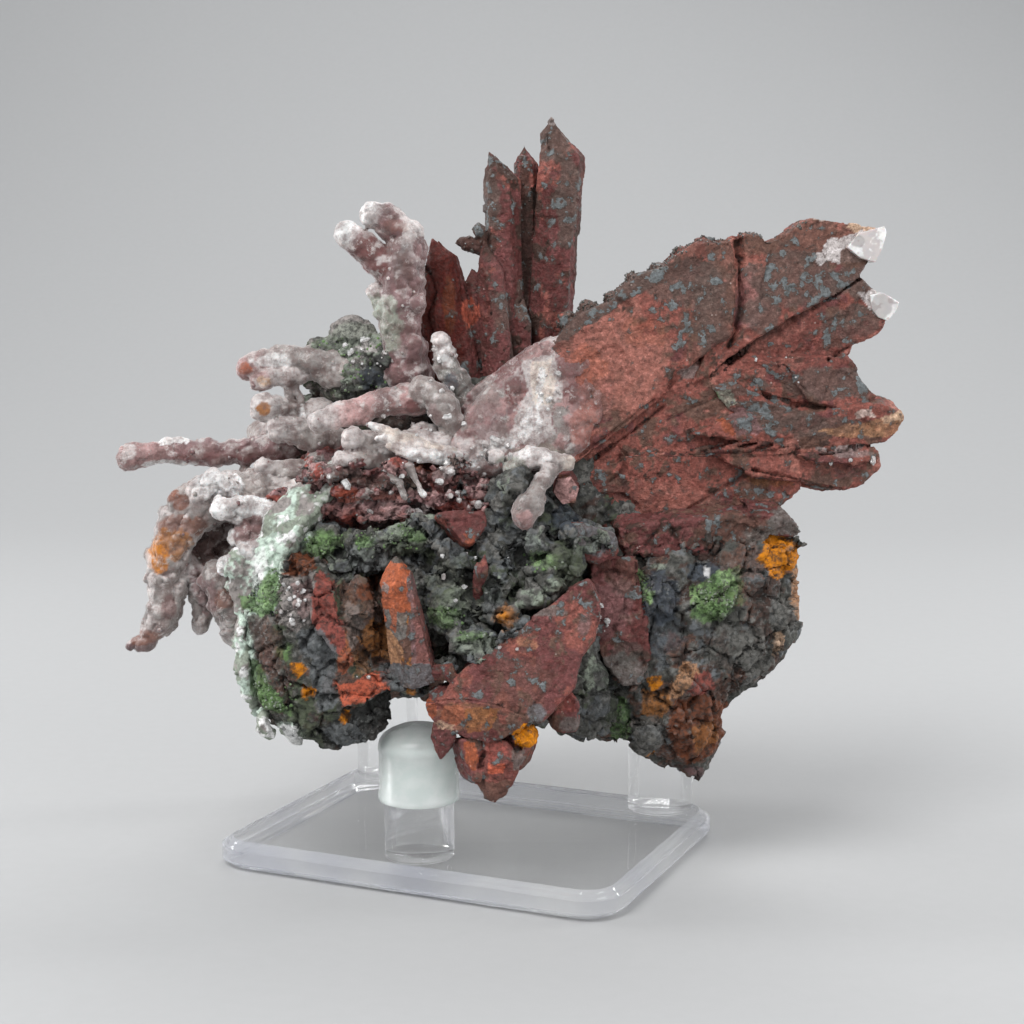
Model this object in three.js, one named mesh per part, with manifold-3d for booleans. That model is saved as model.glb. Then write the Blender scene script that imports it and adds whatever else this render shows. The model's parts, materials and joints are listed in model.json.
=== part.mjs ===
// A cluster of hematite-coated quartz, grown together as one stone, on a clear three-post display stand.
// Millimetres, +Z up. The origin is the middle of the stand's underside, +X runs to the right along the
// stone's display face and +Y runs away from whoever looks at that face.
import * as THREE from "three";
import { mergeVertices } from "three/addons/utils/BufferGeometryUtils.js";
import Module from "manifold-3d";

const wasm = await Module();
wasm.setup();

// ---- driving dimensions -------------------------------------------------------------------------
const GAP = 0.3; // air left between the stone and what it rests on

const BASE_WIDTH = 76;
const BASE_DEPTH = 58;
const BASE_THICKNESS = 5;
const BASE_CORNER = 7; // radius of the base's corners
const BASE_BEVEL = 1.6; // the softened edge all round
const STAND_TURN = THREE.MathUtils.degToRad(-23.7); // how far the stand is turned under the stone

const POST_RADIUS = 6;
const POST_TOP = 25; // height of every post's top above the table
const POST_SPREAD = 28.5; // the back posts stand this far either side of the middle
const BACK_POST_ROW = 22;
const FRONT_POST_ROW = -21.2;

const CAP_WALL = 0.7;
const CAP_FIT = 0.3; // air between the post and the inside of its cap
const CAP_BOTTOM = 15;
const CAP_SHOULDER = 25; // where the cap's straight side ends and its dome begins
const CAP_TOP = 28.3;

const ROUND_SIDES = 18; // facets round a post and its cap
const SEAT_SIDES = 24; // facets round the space that the stone leaves for them
const CORNER_STEPS = 3; // facets round a corner of the base

const FINGER_SIDES = 5;
const FINGER_SWELL = 1.06; // a finger swells and narrows by turns along its length
const FINGER_WAIST = 0.92;
const LUMP_SIZES = [3.5, 12]; // lumps that reach further than these have finer faces
const FULLNESS = 2.7; // how a mass fills its outline: 2 is an ellipsoid, more is nearer to a block
const BROAD_RELIEF = { perMm: 0.13, height: 0.9 }; // swells and hollows of broken matrix
const RIDGE_RELIEF = { perMm: 0.27, height: 0.7 }; // sharp crests between them
const CHIP_RELIEF = { perMm: 2, height: 0.35 };

const COLOURS = {
  stone: { color: 0x7b4a40, roughness: 0.8, metalness: 0 },
  acrylic: { color: 0xe8eef2, roughness: 0.05, metalness: 0, transparent: true, opacity: 0.35 },
  silicone: { color: 0xdfe8e4, roughness: 0.35, metalness: 0, transparent: true, opacity: 0.6 },
};

// ---- solids from geometry and back --------------------------------------------------------------
function solidFrom(geometry) {
  const bare = new THREE.BufferGeometry();
  bare.setAttribute("position", geometry.getAttribute("position"));
  bare.setIndex(geometry.getIndex());
  const merged = mergeVertices(bare, 1e-4);
  const mesh = new wasm.Mesh({
    numProp: 3,
    vertProperties: new Float32Array(merged.attributes.position.array),
    triVerts: new Uint32Array(merged.index.array),
  });
  return new wasm.Manifold(mesh);
}

function geometryFrom(solid) {
  const { vertProperties, triVerts, numProp } = solid.getMesh();
  const count = vertProperties.length / numProp;
  const positions = new Float32Array(count * 3);
  for (let i = 0; i < count; i++) {
    positions.set(vertProperties.subarray(i * numProp, i * numProp + 3), i * 3);
  }
  const geometry = new THREE.BufferGeometry();
  geometry.setAttribute("position", new THREE.BufferAttribute(positions, 3));
  geometry.setIndex(new THREE.BufferAttribute(new Uint32Array(triVerts), 1));
  geometry.computeVertexNormals();
  return geometry;
}

// A closed skin over rings of equal length, with a point at either end.
function skinOverRings(startPoint, rings, endPoint) {
  const sides = rings[0].length;
  const points = [startPoint, ...rings.flat(), endPoint];
  const last = points.length - 1;
  const ringStart = (r) => 1 + r * sides;
  const faces = [];
  for (let s = 0; s < sides; s++) {
    const next = (s + 1) % sides;
    faces.push(0, ringStart(0) + next, ringStart(0) + s);
    for (let r = 0; r + 1 < rings.length; r++) {
      const low = ringStart(r);
      const high = ringStart(r + 1);
      faces.push(low + s, low + next, high + next);
      faces.push(low + s, high + next, high + s);
    }
    const top = ringStart(rings.length - 1);
    faces.push(last, top + s, top + next);
  }
  const geometry = new THREE.BufferGeometry().setFromPoints(points);
  geometry.setIndex(faces);
  return geometry;
}

// Two directions square to an axis; the first lies as near as it can to +X, then turns by roll.
function sideways(axis, rollDegrees = 0) {
  const reference = Math.abs(axis.x) > 0.8 ? new THREE.Vector3(0, 0, -1) : new THREE.Vector3(1, 0, 0);
  const wide = reference.addScaledVector(axis, -reference.dot(axis)).normalize();
  wide.applyAxisAngle(axis, THREE.MathUtils.degToRad(rollDegrees));
  return [wide, new THREE.Vector3().crossVectors(axis, wide)];
}

// ---- the four ways in which the stone grew --------------------------------------------------------
// A six-sided quartz crystal, from its foot to its shoulders and on to its point.
function crystal({ foot, shoulder, point, width, thickness, footScale = 0.9, roll = 0 }) {
  const start = new THREE.Vector3(...foot);
  const top = new THREE.Vector3(...shoulder);
  const axis = top.clone().sub(start).normalize();
  const [wide, thick] = sideways(axis, roll);
  const ring = (centre, scale) =>
    Array.from({ length: 6 }, (_, i) => {
      const angle = (i / 6) * Math.PI * 2;
      return centre
        .clone()
        .addScaledVector(wide, (Math.cos(angle) * width * scale) / 2)
        .addScaledVector(thick, (Math.sin(angle) * thickness * scale) / 2 / Math.sin(Math.PI / 3));
    });
  return skinOverRings(start, [ring(start, footScale), ring(top, 1)], new THREE.Vector3(...point));
}

// A tabular crystal seen on its broad face: its outline, how far forward that face lies, and its depth.
function slab({ outline, front, depth, bevel = 0.9, turn = 0, lean = 0 }) {
  const middle = outline.reduce((sum, [x, z]) => sum.add(new THREE.Vector2(x, z)), new THREE.Vector2());
  middle.divideScalar(outline.length);
  const shape = new THREE.Shape(outline.map(([x, z]) => new THREE.Vector2(x - middle.x, z - middle.y)));
  const geometry = new THREE.ExtrudeGeometry(shape, {
    depth: depth - 2 * bevel,
    bevelSize: bevel,
    bevelOffset: -bevel,
    bevelThickness: bevel,
    bevelSegments: 1,
    steps: 1,
  });
  geometry.translate(0, 0, bevel - depth);
  geometry.rotateX(Math.PI / 2 + THREE.MathUtils.degToRad(lean));
  geometry.rotateZ(THREE.MathUtils.degToRad(turn));
  geometry.translate(middle.x, front, middle.y);
  return geometry;
}

// A finger of chalcedony over a thin crystal, from its root inside the stone to its rounded end. Its
// path is a list of [x, y, z, radius].
function finger(path) {
  const curve = new THREE.CatmullRomCurve3(path.map(([x, y, z]) => new THREE.Vector3(x, y, z)));
  const steps = Math.max(2, path.length - 1);
  const radiusAt = (t) => {
    const place = t * (path.length - 1);
    const before = Math.min(Math.floor(place), path.length - 2);
    return THREE.MathUtils.lerp(path[before][3], path[before + 1][3], place - before);
  };
  const ring = (centre, axis, radius) => {
    const [wide, thick] = sideways(axis);
    return Array.from({ length: FINGER_SIDES }, (_, i) => {
      const angle = (i / FINGER_SIDES) * Math.PI * 2;
      return centre
        .clone()
        .addScaledVector(wide, Math.cos(angle) * radius)
        .addScaledVector(thick, Math.sin(angle) * radius);
    });
  };
  const rings = [];
  for (let i = 0; i <= steps; i++) {
    const t = i / steps;
    const swell = i % 2 ? FINGER_WAIST : FINGER_SWELL;
    rings.push(ring(curve.getPoint(t), curve.getTangent(t), radiusAt(t) * swell));
  }
  const tip = curve.getPoint(1);
  const tipAxis = curve.getTangent(1);
  const tipRadius = radiusAt(1);
  const rounding = tip.clone().addScaledVector(tipAxis, tipRadius * 0.7);
  rings.push(ring(rounding, tipAxis, tipRadius * 0.66));
  return skinOverRings(curve.getPoint(0), rings, tip.addScaledVector(tipAxis, tipRadius));
}

// Repeatable smooth noise between -1 and 1.
function hash(x, y, z) {
  const s = Math.sin(x * 127.1 + y * 311.7 + z * 74.7) * 43758.5453;
  return (s - Math.floor(s)) * 2 - 1;
}
function noise(x, y, z) {
  const [i, j, k] = [x, y, z].map(Math.floor);
  const [u, v, w] = [x - i, y - j, z - k].map((t) => t * t * (3 - 2 * t));
  const { lerp } = THREE.MathUtils;
  const row = (b, c) => lerp(hash(i, j + b, k + c), hash(i + 1, j + b, k + c), u);
  return lerp(lerp(row(0, 0), row(1, 0), v), lerp(row(0, 1), row(1, 1), v), w);
}

// How far broken matrix stands out at a place in the stone. Neighbouring lumps run into each other,
// because all of them read the same field.
function relief(x, y, z) {
  const place = [x, y, z];
  const broad = noise(...place.map((c) => c * BROAD_RELIEF.perMm));
  const crest = 0.4 - 2 * Math.abs(noise(...place.map((c) => c * RIDGE_RELIEF.perMm + 9)));
  const chip = hash(...place.map((c) => Math.round(c * CHIP_RELIEF.perMm)));
  return BROAD_RELIEF.height * broad + RIDGE_RELIEF.height * crest + CHIP_RELIEF.height * chip;
}

// A ball of triangles given a new place for each of its points, and broken like matrix.
function brokenBall(detail, rough, placeOf) {
  const ball = new THREE.IcosahedronGeometry(1, detail).deleteAttribute("normal").deleteAttribute("uv");
  const geometry = mergeVertices(ball, 1e-4);
  const points = geometry.attributes.position;
  const v = new THREE.Vector3();
  for (let i = 0; i < points.count; i++) {
    v.fromBufferAttribute(points, i);
    const place = placeOf(v);
    place.addScaledVector(v, rough * relief(place.x, place.y, place.z));
    points.setXYZ(i, place.x, place.y, place.z);
  }
  return geometry;
}

function lump({ at, size, rough = 1.3 }) {
  const detail = LUMP_SIZES.filter((limit) => Math.max(...size) > limit).length;
  const centre = new THREE.Vector3(...at);
  const reach = new THREE.Vector3(...size);
  return brokenBall(detail, rough, (v) => v.clone().multiply(reach).add(centre));
}

// How far it is from the centre to the outline in one direction.
function reachToOutline(points, centre, direction) {
  let reach = 0;
  points.forEach((p, i) => {
    const from = p.clone().sub(centre);
    const along = points[(i + 1) % points.length].clone().sub(p);
    const across = direction.cross(along);
    if (Math.abs(across) < 1e-9) return;
    const distance = from.cross(along) / across;
    const share = from.cross(direction) / across;
    if (distance > 0 && share >= 0 && share <= 1) reach = Math.max(reach, distance);
  });
  return reach;
}

// A mass of matrix with a known outline, given as it is seen from the front, and doming forward and
// back from it.
function mass({ outline, front, back, middle, detail = 3, rough = 1.8 }) {
  const points = outline.map(([x, z]) => new THREE.Vector2(x, z));
  const centre = new THREE.Vector2(...middle);
  return brokenBall(detail, rough, (v) => {
    const fromAxis = Math.hypot(v.x, v.z);
    const fuller = 1 / (fromAxis ** FULLNESS + Math.abs(v.y) ** FULLNESS) ** (1 / FULLNESS);
    const direction = new THREE.Vector2(v.x, v.z).normalize();
    const reach = fromAxis < 1e-6 ? 0 : reachToOutline(points, centre, direction) * fromAxis * fuller;
    const y = (front + back) / 2 + ((back - front) / 2) * v.y * fuller;
    return new THREE.Vector3(centre.x + direction.x * reach, y, centre.y + direction.y * reach);
  });
}

// ---- the stone's crystals, slabs, fingers and lumps ------------------------------------------------
const UPRIGHT_BLADES = {
  tall: {
    foot: [12.8, 7, 76], shoulder: [16, 7, 125], point: [14.2, 6, 131.2],
    width: 8.4, thickness: 6, roll: 12,
  },
  left: {
    foot: [6.4, 5, 78], shoulder: [5.4, 5, 120.6], point: [3.6, 4, 125],
    width: 7.2, thickness: 5.2, roll: -8,
  },
  middle: {
    foot: [10.4, 9, 90], shoulder: [9.9, 9, 123], point: [9.5, 9, 126.6],
    width: 4.4, thickness: 4,
  },
  front: {
    foot: [6.2, 1, 78], shoulder: [3.6, 2, 104], point: [3.2, 2, 109.5],
    width: 5.4, thickness: 4.4, footScale: 1.4, roll: 10,
  },
  slender: {
    foot: [3.5, 3, 80], shoulder: [-4.2, 3, 106.5], point: [-5.5, 3, 109.6],
    width: 4.2, thickness: 3.2,
  },
  wide: {
    foot: [-0.5, 2, 78], shoulder: [-7, 1, 105], point: [-8.8, 1, 111],
    width: 6, thickness: 3.6, footScale: 1.1,
  },
  short: {
    foot: [4.2, 3, 80], shoulder: [1, 3, 102.5], point: [0.4, 3, 105],
    width: 3.8, thickness: 3,
  },
  knob: {
    foot: [6, 4.6, 106.6], shoulder: [-0.6, 3, 109.2], point: [-3, 3, 109.2],
    width: 3.2, thickness: 2.6,
  },
};

const BACK_BLADES = {
  rear_tall: {
    foot: [8, 10, 62], shoulder: [13, 22, 88], point: [14, 24, 93],
    width: 8, thickness: 6, roll: 20,
  },
  rear_left: {
    foot: [-2, 10, 62], shoulder: [-7, 25, 82], point: [-8, 28, 87],
    width: 7, thickness: 5.5, roll: -15,
  },
  rear_right: {
    foot: [16, 8, 62], shoulder: [30, 21, 82], point: [33, 23, 86],
    width: 8, thickness: 6,
  },
  rear_low: {
    foot: [10, 12, 56], shoulder: [17, 34, 66], point: [19, 38, 68],
    width: 7.5, thickness: 6, roll: 30,
  },
  rear_side: {
    foot: [24, 6, 58], shoulder: [43, 19, 68], point: [47, 21, 71],
    width: 7, thickness: 5.5,
  },
  rear_stub: {
    foot: [-8, 10, 56], shoulder: [-19, 31, 66], point: [-21, 34, 68],
    width: 6.5, thickness: 5, roll: 10,
  },
};

const FAN_SLABS = {
  heart: {
    front: -5.4, depth: 9, turn: 2,
    outline: [[18, 66], [27, 82], [40, 93], [58, 97], [66, 92], [68, 80], [64, 72], [54, 66], [34, 60]],
  },
  upper_left: {
    front: -9, depth: 11, turn: 2, lean: -4, bevel: 1.3,
    outline: [
      [8, 76], [14, 70], [19, 72.5], [25, 77.5], [31, 82.3], [36, 86.8], [42.5, 92.2], [44.6, 94],
      [45.2, 103], [44.6, 109.4], [38.5, 109.4], [34, 106.6], [28.5, 104.4], [22, 98.4],
      [15.5, 92.6], [9, 88],
    ],
  },
  upper_right: {
    front: -7.6, depth: 10, turn: 5, lean: -3, bevel: 1.2,
    outline: [
      [37, 86], [43.5, 87.2], [46, 90.2], [55, 95.6], [62, 99.8], [68.4, 105], [70.4, 110.4],
      [66, 112.8], [58.2, 113.6], [53, 110], [51, 109.3], [50, 110.8], [45.6, 110.4], [43, 104],
      [42, 94],
    ],
  },
  middle_right: {
    front: -6.2, depth: 9, turn: 6, bevel: 1,
    outline: [
      [44, 86], [46, 90], [55, 95.8], [62.3, 100], [67.5, 103.8], [70, 100.4], [73.6, 98.8],
      [72.6, 96.4], [69.6, 92.7], [65.5, 90.8], [57, 88], [50, 84],
    ],
  },
  facets: {
    front: -7.4, depth: 9, turn: -4, lean: 5, bevel: 1.6,
    outline: [
      [38, 80], [43, 87.4], [47, 89.6], [57, 88.8], [65, 91.2], [66.4, 87.4], [70.8, 82.8],
      [66, 80.4], [55, 78.6], [46, 78],
    ],
  },
  long_blade: {
    front: -9.8, depth: 8, turn: 5, lean: 7, bevel: 1.7,
    outline: [
      [36, 77], [47, 78.4], [55, 79.5], [66, 81.2], [70.6, 82.8], [74.8, 79.6], [73.8, 77.4],
      [69.2, 74.4], [56, 72.8], [44, 73.6],
    ],
  },
  low_blade: {
    front: -8.6, depth: 8, turn: 7, lean: -6, bevel: 1.5,
    outline: [
      [42, 73], [55, 73.8], [66, 74.2], [70, 73.2], [71.8, 71.2], [69.4, 68.6], [64.6, 66.7],
      [57.5, 67.8], [48, 70.4],
    ],
  },
  lower: {
    front: -7.6, depth: 13, turn: 3, bevel: 1.1,
    outline: [
      [12, 60], [14, 70], [25, 78], [32, 82], [39, 79.2], [44, 76.4], [53, 70.4], [58, 67.4],
      [52.4, 62.6], [40, 58], [28, 54], [20, 55],
    ],
  },
};

const FACE_SLABS = {
  great_plate: {
    front: -34.6, depth: 9, turn: -3, lean: -10, bevel: 1.2,
    outline: [
      [-3.6, 35.6], [-2.4, 39.6], [5, 44.6], [9, 47.2], [19.4, 53], [20.8, 51.8], [21.3, 48],
      [20.3, 45], [18, 42], [17.7, 37], [12.6, 32], [6, 33],
    ],
  },
  plate_toe: {
    front: -34.2, depth: 9, turn: -6, lean: 16, bevel: 1.2,
    outline: [
      [-6.8, 35], [-1, 36.4], [6, 36], [10.4, 33], [8.6, 30.6], [5, 28.2], [0, 28.8], [-4.6, 31.2],
    ],
  },
  side_block: {
    front: -30, depth: 7, turn: 6, lean: -4,
    outline: [[14.4, 31], [15.4, 36.2], [17.6, 36], [18.4, 32], [18.2, 29.2], [15, 29.6]],
  },
  red_plate: {
    front: -32.6, depth: 6, turn: -14, lean: -6,
    outline: [
      [-27.4, 46], [-26.6, 51.6], [-24, 53.4], [-22.2, 49.6], [-21.2, 45.4], [-19, 42.2],
      [-19.6, 39.8], [-22, 41],
    ],
  },
  red_chip: {
    front: -25.6, depth: 6, turn: 10, lean: -20,
    outline: [[-5, 65.6], [3, 65.8], [3.6, 63.4], [1, 60], [-0.6, 60], [-2.2, 62.2]],
  },
  grey_block: {
    front: -24.4, depth: 9, turn: 12, lean: -8, bevel: 1.4,
    outline: [[15.6, 62.6], [19, 63.4], [25.2, 61.4], [25.6, 57.4], [21, 56], [18.6, 57.8]],
  },
};

const FACE_CRYSTALS = {
  orange_prism: {
    foot: [-8.4, -28, 34], shoulder: [-10.8, -31, 54.6], point: [-11.6, -30, 58],
    width: 8, thickness: 7.4, roll: 24,
  },
  brown_prism: {
    foot: [-18, -25, 36], shoulder: [-19, -28, 49], point: [-19.4, -27, 52.6],
    width: 7, thickness: 6, roll: 14,
  },
  top_wedge: {
    foot: [-28, -20, 52], shoulder: [-28.8, -28, 55], point: [-29.2, -29, 58],
    width: 4.6, thickness: 4, roll: 20,
  },
  pink_stub: {
    foot: [16.6, -6, 69], shoulder: [16.4, -20.6, 68.3], point: [16.3, -21.4, 68.2],
    width: 4.6, thickness: 4.6, footScale: 1, roll: 10,
  },
  red_needle: {
    foot: [0.8, -24, 50], shoulder: [2.4, -29.4, 56.4], point: [3, -29.4, 58.6],
    width: 2.6, thickness: 2.2,
  },
  claw_spike: {
    foot: [-47, -12, 62], shoulder: [-50, -13.6, 65.6], point: [-51.2, -14, 67.4],
    width: 3, thickness: 3,
  },
  toe_tooth: {
    foot: [-3.6, -26, 34], shoulder: [-4.2, -31.6, 28.6], point: [-3.9, -31.4, 24.8],
    width: 4.6, thickness: 4.6,
  },
  red_band: {
    foot: [-8, -10, 64], shoulder: [-22, -14.6, 66.4], point: [-26, -15, 66.4],
    width: 4.6, thickness: 5, roll: 10,
  },
  red_band_low: {
    foot: [-2, -12, 66], shoulder: [-15, -17, 63.6], point: [-18.4, -17.6, 62.8],
    width: 4, thickness: 4.4,
  },
};

const FINGERS = {
  great_stem: [
    [-9.5, -1, 80, 4.6], [-11, -3, 88, 4.6], [-12, -4, 96, 4.4], [-11.6, -4, 104, 4.2],
    [-11, -4, 110.4, 3.6],
  ],
  great_lobe: [[-10, -4, 108, 3.4], [-13, -4, 112, 3.2], [-16.2, -4, 113.8, 2.5]],
  side_lobe: [[-13.4, -4, 104, 3.2], [-17, -4.6, 107.6, 2.8], [-20.9, -5, 110.9, 2.1]],
  cored_finger: [[-22, -3, 87, 4], [-28, -3, 88.6, 2.9], [-33, -4, 89, 2.3], [-38.6, -5, 87.8, 2.2]],
  cored_twin: [[-29, -3, 86.6, 2.4], [-36.4, -6.4, 85.8, 1.8]],
  ring_finger: [[-26, -3, 79.6, 3], [-31, -5, 80, 2.2], [-35.2, -8, 80.7, 2.5]],
  grey_finger: [[-16, -4, 72.8, 3], [-22, -5, 74.6, 2.6], [-28, -6, 76.2, 2.7], [-32.6, -7, 77.4, 2.4]],
  long_finger: [
    [-18, 3, 74, 3], [-30, 1, 73, 2.5], [-40, 0, 72.6, 2.4], [-48, -1, 72.4, 2.3],
    [-54, -2, 72.6, 2.1], [-59.8, -2, 71.9, 2.5],
  ],
  under_stub: [[-26, 0, 68, 4], [-34, -1, 67.4, 2.9], [-40, -1, 68.6, 1.6]],
  low_finger: [[-20, -6, 70.4, 2.4], [-28, -8, 70, 2], [-35.4, -9, 70.4, 1.7]],
  pink_finger: [
    [-8, -8, 83, 3.2], [-14, -11, 82.6, 2.5], [-19, -12, 80.8, 2.3], [-25.6, -13, 79.2, 2.1],
  ],
  front_knuckle: [[-7.4, -11, 84.4, 2.8], [-4.2, -12, 80, 2.5], [-2, -11, 76, 3]],
  cream_finger: [
    [-2, -12, 74.4, 3.4], [-8, -14, 76.4, 2.6], [-13, -15, 77.6, 2], [-16.6, -16, 78, 1.4],
  ],
  short_finger: [[-12, -11, 73.6, 2.6], [-19.6, -15, 76.4, 2]],
  white_finger: [[-12, -12, 70, 2.8], [-21.2, -17, 71, 1.9]],
  sparkling_finger: [[-0.6, -8, 82, 2.8], [-3.2, -9, 87, 2.4], [-4.8, -9, 92.4, 1.9]],
  hump: [[1, -7, 76, 6.6], [7, -8, 80, 8.6], [12.6, -8, 84.4, 8.2]],
  drooping_finger: [
    [18, -15, 72, 1.8], [14, -22, 72.4, 1.6], [11.4, -24.6, 70, 1.7], [10.4, -25.6, 66.6, 2],
    [9.8, -26, 64, 2.2],
  ],
  ghost_cone: [[-26.6, -11, 71, 2], [-29.6, -16, 66.4, 3.2], [-33, -18, 61.4, 4.6]],
  white_spur: [[-32, -16, 60, 4], [-37.6, -19, 57, 2.6], [-40, -20, 56.4, 2]],
  claw_arch: [
    [-30, -10, 65, 5], [-38, -12, 65.6, 4.6], [-45, -14, 65, 4.4], [-49.8, -15, 60.6, 4],
    [-51.6, -15, 55, 3.8], [-51.4, -15, 50, 3.4], [-52.8, -15, 45.6, 3.2], [-55, -15, 42, 2.2],
    [-58.2, -15, 40.6, 1.1],
  ],
  claw_web: [[-50, -13, 53, 3.4], [-46, -11, 53, 3.6], [-40, -11, 52, 4.6]],
  claw_stub: [[-46.4, -12, 50, 2.2], [-46.2, -12.6, 43.6, 2]],
  rear_finger: [[-20, 8, 66, 4.4], [-32, 16, 70, 3.4], [-40, 20, 74, 2.6]],
  rear_finger_low: [[-24, 8, 56, 4.6], [-36, 17, 57, 3.4], [-43, 21, 60, 2.4]],
};

const MASSES = {
  left_lump: {
    front: -31, back: -7, middle: [-26, 40],
    outline: [
      [-38, 50], [-38.2, 43], [-37.4, 36], [-35.8, 30.6], [-31.8, 25.6], [-26.7, 24.6], [-22.5, 23],
      [-19.5, 24.4], [-15, 26.4], [-13.2, 30.6], [-12.8, 35], [-14, 41], [-14.5, 48], [-17, 54],
      [-24, 57.5], [-31, 57.6], [-36, 55],
    ],
  },
  bridge: {
    front: -26, back: -6, middle: [-9, 45], detail: 1,
    outline: [[-17, 35], [-11, 34], [-5, 36], [-2, 42], [-3, 52], [-9, 57], [-16, 54]],
  },
  band: {
    front: -17, back: 5, middle: [-11, 68], detail: 2,
    outline: [
      [-31, 63], [-24, 60], [-12, 61], [0, 63], [9, 67], [9, 72], [2, 75.6], [-8, 77], [-20, 76.4],
      [-28, 74], [-32, 69],
    ],
  },
  face: {
    front: -28, back: -4, middle: [4, 56], detail: 2, rough: 2.2,
    outline: [
      [-13, 65], [-11, 57], [-7, 50], [-3, 43], [6, 41], [13, 45], [19, 49], [20.6, 55], [19.6, 61],
      [16, 67], [9, 71], [-1, 71], [-9, 70],
    ],
  },
  keel: {
    front: -27.4, back: -6, middle: [11, 38], detail: 2,
    outline: [
      [-3.6, 37], [-2.6, 32.4], [4, 29], [12, 28], [15.4, 26.2], [21, 25.2], [24.6, 26.4], [25, 33],
      [23, 44], [20, 52], [9, 52], [-1, 47],
    ],
  },
  heart: {
    front: -14, back: 20, middle: [7, 60], rough: 2.4, detail: 2,
    outline: [
      [-29, 62], [-27, 52], [-18, 45], [-8, 40], [6, 37], [20, 38], [34, 41], [44, 46], [42, 58],
      [33, 68], [25, 76], [14, 84], [0, 86], [-12, 82], [-24, 74],
    ],
  },
  right_matrix: {
    front: -22, back: 4, middle: [38, 43], rough: 2.4,
    outline: [
      [57.9, 46.5], [57.2, 52], [57.6, 58.8], [51, 62.4], [40, 63], [28, 60], [21, 55], [20, 46],
      [19.8, 36], [19, 28], [22, 22.2], [27, 22], [31.3, 18.4], [36.6, 17.2], [41.8, 17.6],
      [44.5, 24], [46, 29.4], [51.7, 32.9], [55.3, 37.5], [58, 42.2],
    ],
  },
  rear_left_foot: {
    front: 6, back: 38, middle: [-15, 38], detail: 2, rough: 2.4,
    outline: [
      [-30, 40], [-27, 28], [-18, 22.6], [-7, 24], [-1, 33], [0, 48], [-8, 56], [-22, 55], [-30, 48],
    ],
  },
  rear_right_foot: {
    front: -6, back: 20, middle: [35, 36], detail: 2, rough: 2.4,
    outline: [
      [23, 40], [25, 28], [33, 23], [42, 24.6], [47, 33], [48, 44], [42, 54], [30, 56], [24, 49],
    ],
  },
};

const LUMPS = {
  shoulder: { at: [-14, -2, 78], size: [11, 8, 9], rough: 1.4 },
  left_brow: { at: [-29, -22, 49], size: [6.4, 8.4, 7.4], rough: 1.6 },
  lobe_olive_left: { at: [-7.4, -23, 60.6], size: [5, 6, 4.6], rough: 1.4 },
  lobe_grey: { at: [5.6, -23.6, 57], size: [5, 6.4, 5], rough: 1.6 },
  red_bead: { at: [-3.4, -28, 40.4], size: [2.4, 4.4, 2.4], rough: 0.3 },
  toe: { at: [4.6, -30.2, 26.2], size: [4.6, 4.6, 7.6], rough: 1.1 },
  ochre_nodule: { at: [9.2, -31.6, 29.4], size: [2.2, 3.2, 2.8], rough: 0.4 },
  column: { at: [25.4, -18.4, 47.4], size: [4.8, 6.4, 9], rough: 1.4 },
  rimmed_knob: { at: [32.6, -18, 50], size: [4.4, 5, 5.4], rough: 1.2 },
  green_knob: { at: [42.6, -17, 50], size: [4.4, 5.4, 5], rough: 1.4 },
  limonite: { at: [53.2, -12.4, 56], size: [4.2, 5, 4], rough: 1 },
  tan_knob: { at: [51, -13, 43], size: [5, 6, 5.4], rough: 1.4 },
  rust_face: { at: [37.6, -15, 34.4], size: [7, 7.4, 5.4], rough: 1.8 },
  rust_toe: { at: [40, -11, 19.4], size: [3, 4, 4.8], rough: 0.3 },
  grey_green_low: { at: [-20, -3, 86], size: [8, 6, 7.4], rough: 1.4 },
  grey_green_high: { at: [-20.8, -2, 92.6], size: [5, 4.4, 4.8], rough: 0.9 },
  claw_back: { at: [-43, -7, 57], size: [6, 5, 6.4], rough: 1 },
  claw_cheek: { at: [-41, -15, 48.4], size: [4.2, 5, 5.8], rough: 1 },
  fan_crest: { at: [21.6, -3, 98], size: [2.6, 3, 1.9], rough: 0.6 },
  rear_shoulder: { at: [-4, 14, 70], size: [13, 9, 9], rough: 1.8 },
};

// ---- the stone as one solid --------------------------------------------------------------------------
const postPlaces = {
  front: [0, FRONT_POST_ROW],
  back_left: [-POST_SPREAD, BACK_POST_ROW],
  back_right: [POST_SPREAD, BACK_POST_ROW],
};

function turned([x, y]) {
  return new THREE.Vector2(x, y).rotateAround(new THREE.Vector2(), STAND_TURN);
}

// A solid turned about the Z axis from steps of [radius, height], which start and end on that axis.
function lathe(profile, sides) {
  const geometry = new THREE.LatheGeometry(profile.map(([r, z]) => new THREE.Vector2(r, z)), sides);
  return geometry.rotateX(Math.PI / 2);
}

// The dome over a cap, from its shoulder to its tip.
function dome(radius, shoulder, tip) {
  const rise = tip - shoulder;
  return [
    [radius, shoulder], [radius * 0.88, shoulder + rise * 0.45], [radius * 0.5, shoulder + rise * 0.85],
    [0, tip],
  ];
}

// The space round a post and its cap that the stone keeps out of.
function seatCutter(name) {
  const radius = POST_RADIUS + GAP;
  const capRadius = radius + CAP_FIT + CAP_WALL;
  const overPost = [[0, 0], [radius, 0], [radius, POST_TOP + GAP], [0, POST_TOP + GAP]];
  const overCap = [[0, 0], [capRadius, 0], ...dome(capRadius, CAP_SHOULDER + GAP, CAP_TOP + GAP)];
  const geometry = lathe(name === "front" ? overCap : overPost, SEAT_SIDES);
  const { x, y } = turned(postPlaces[name]);
  geometry.translate(x, y, 0);
  return solidFrom(geometry);
}

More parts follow.
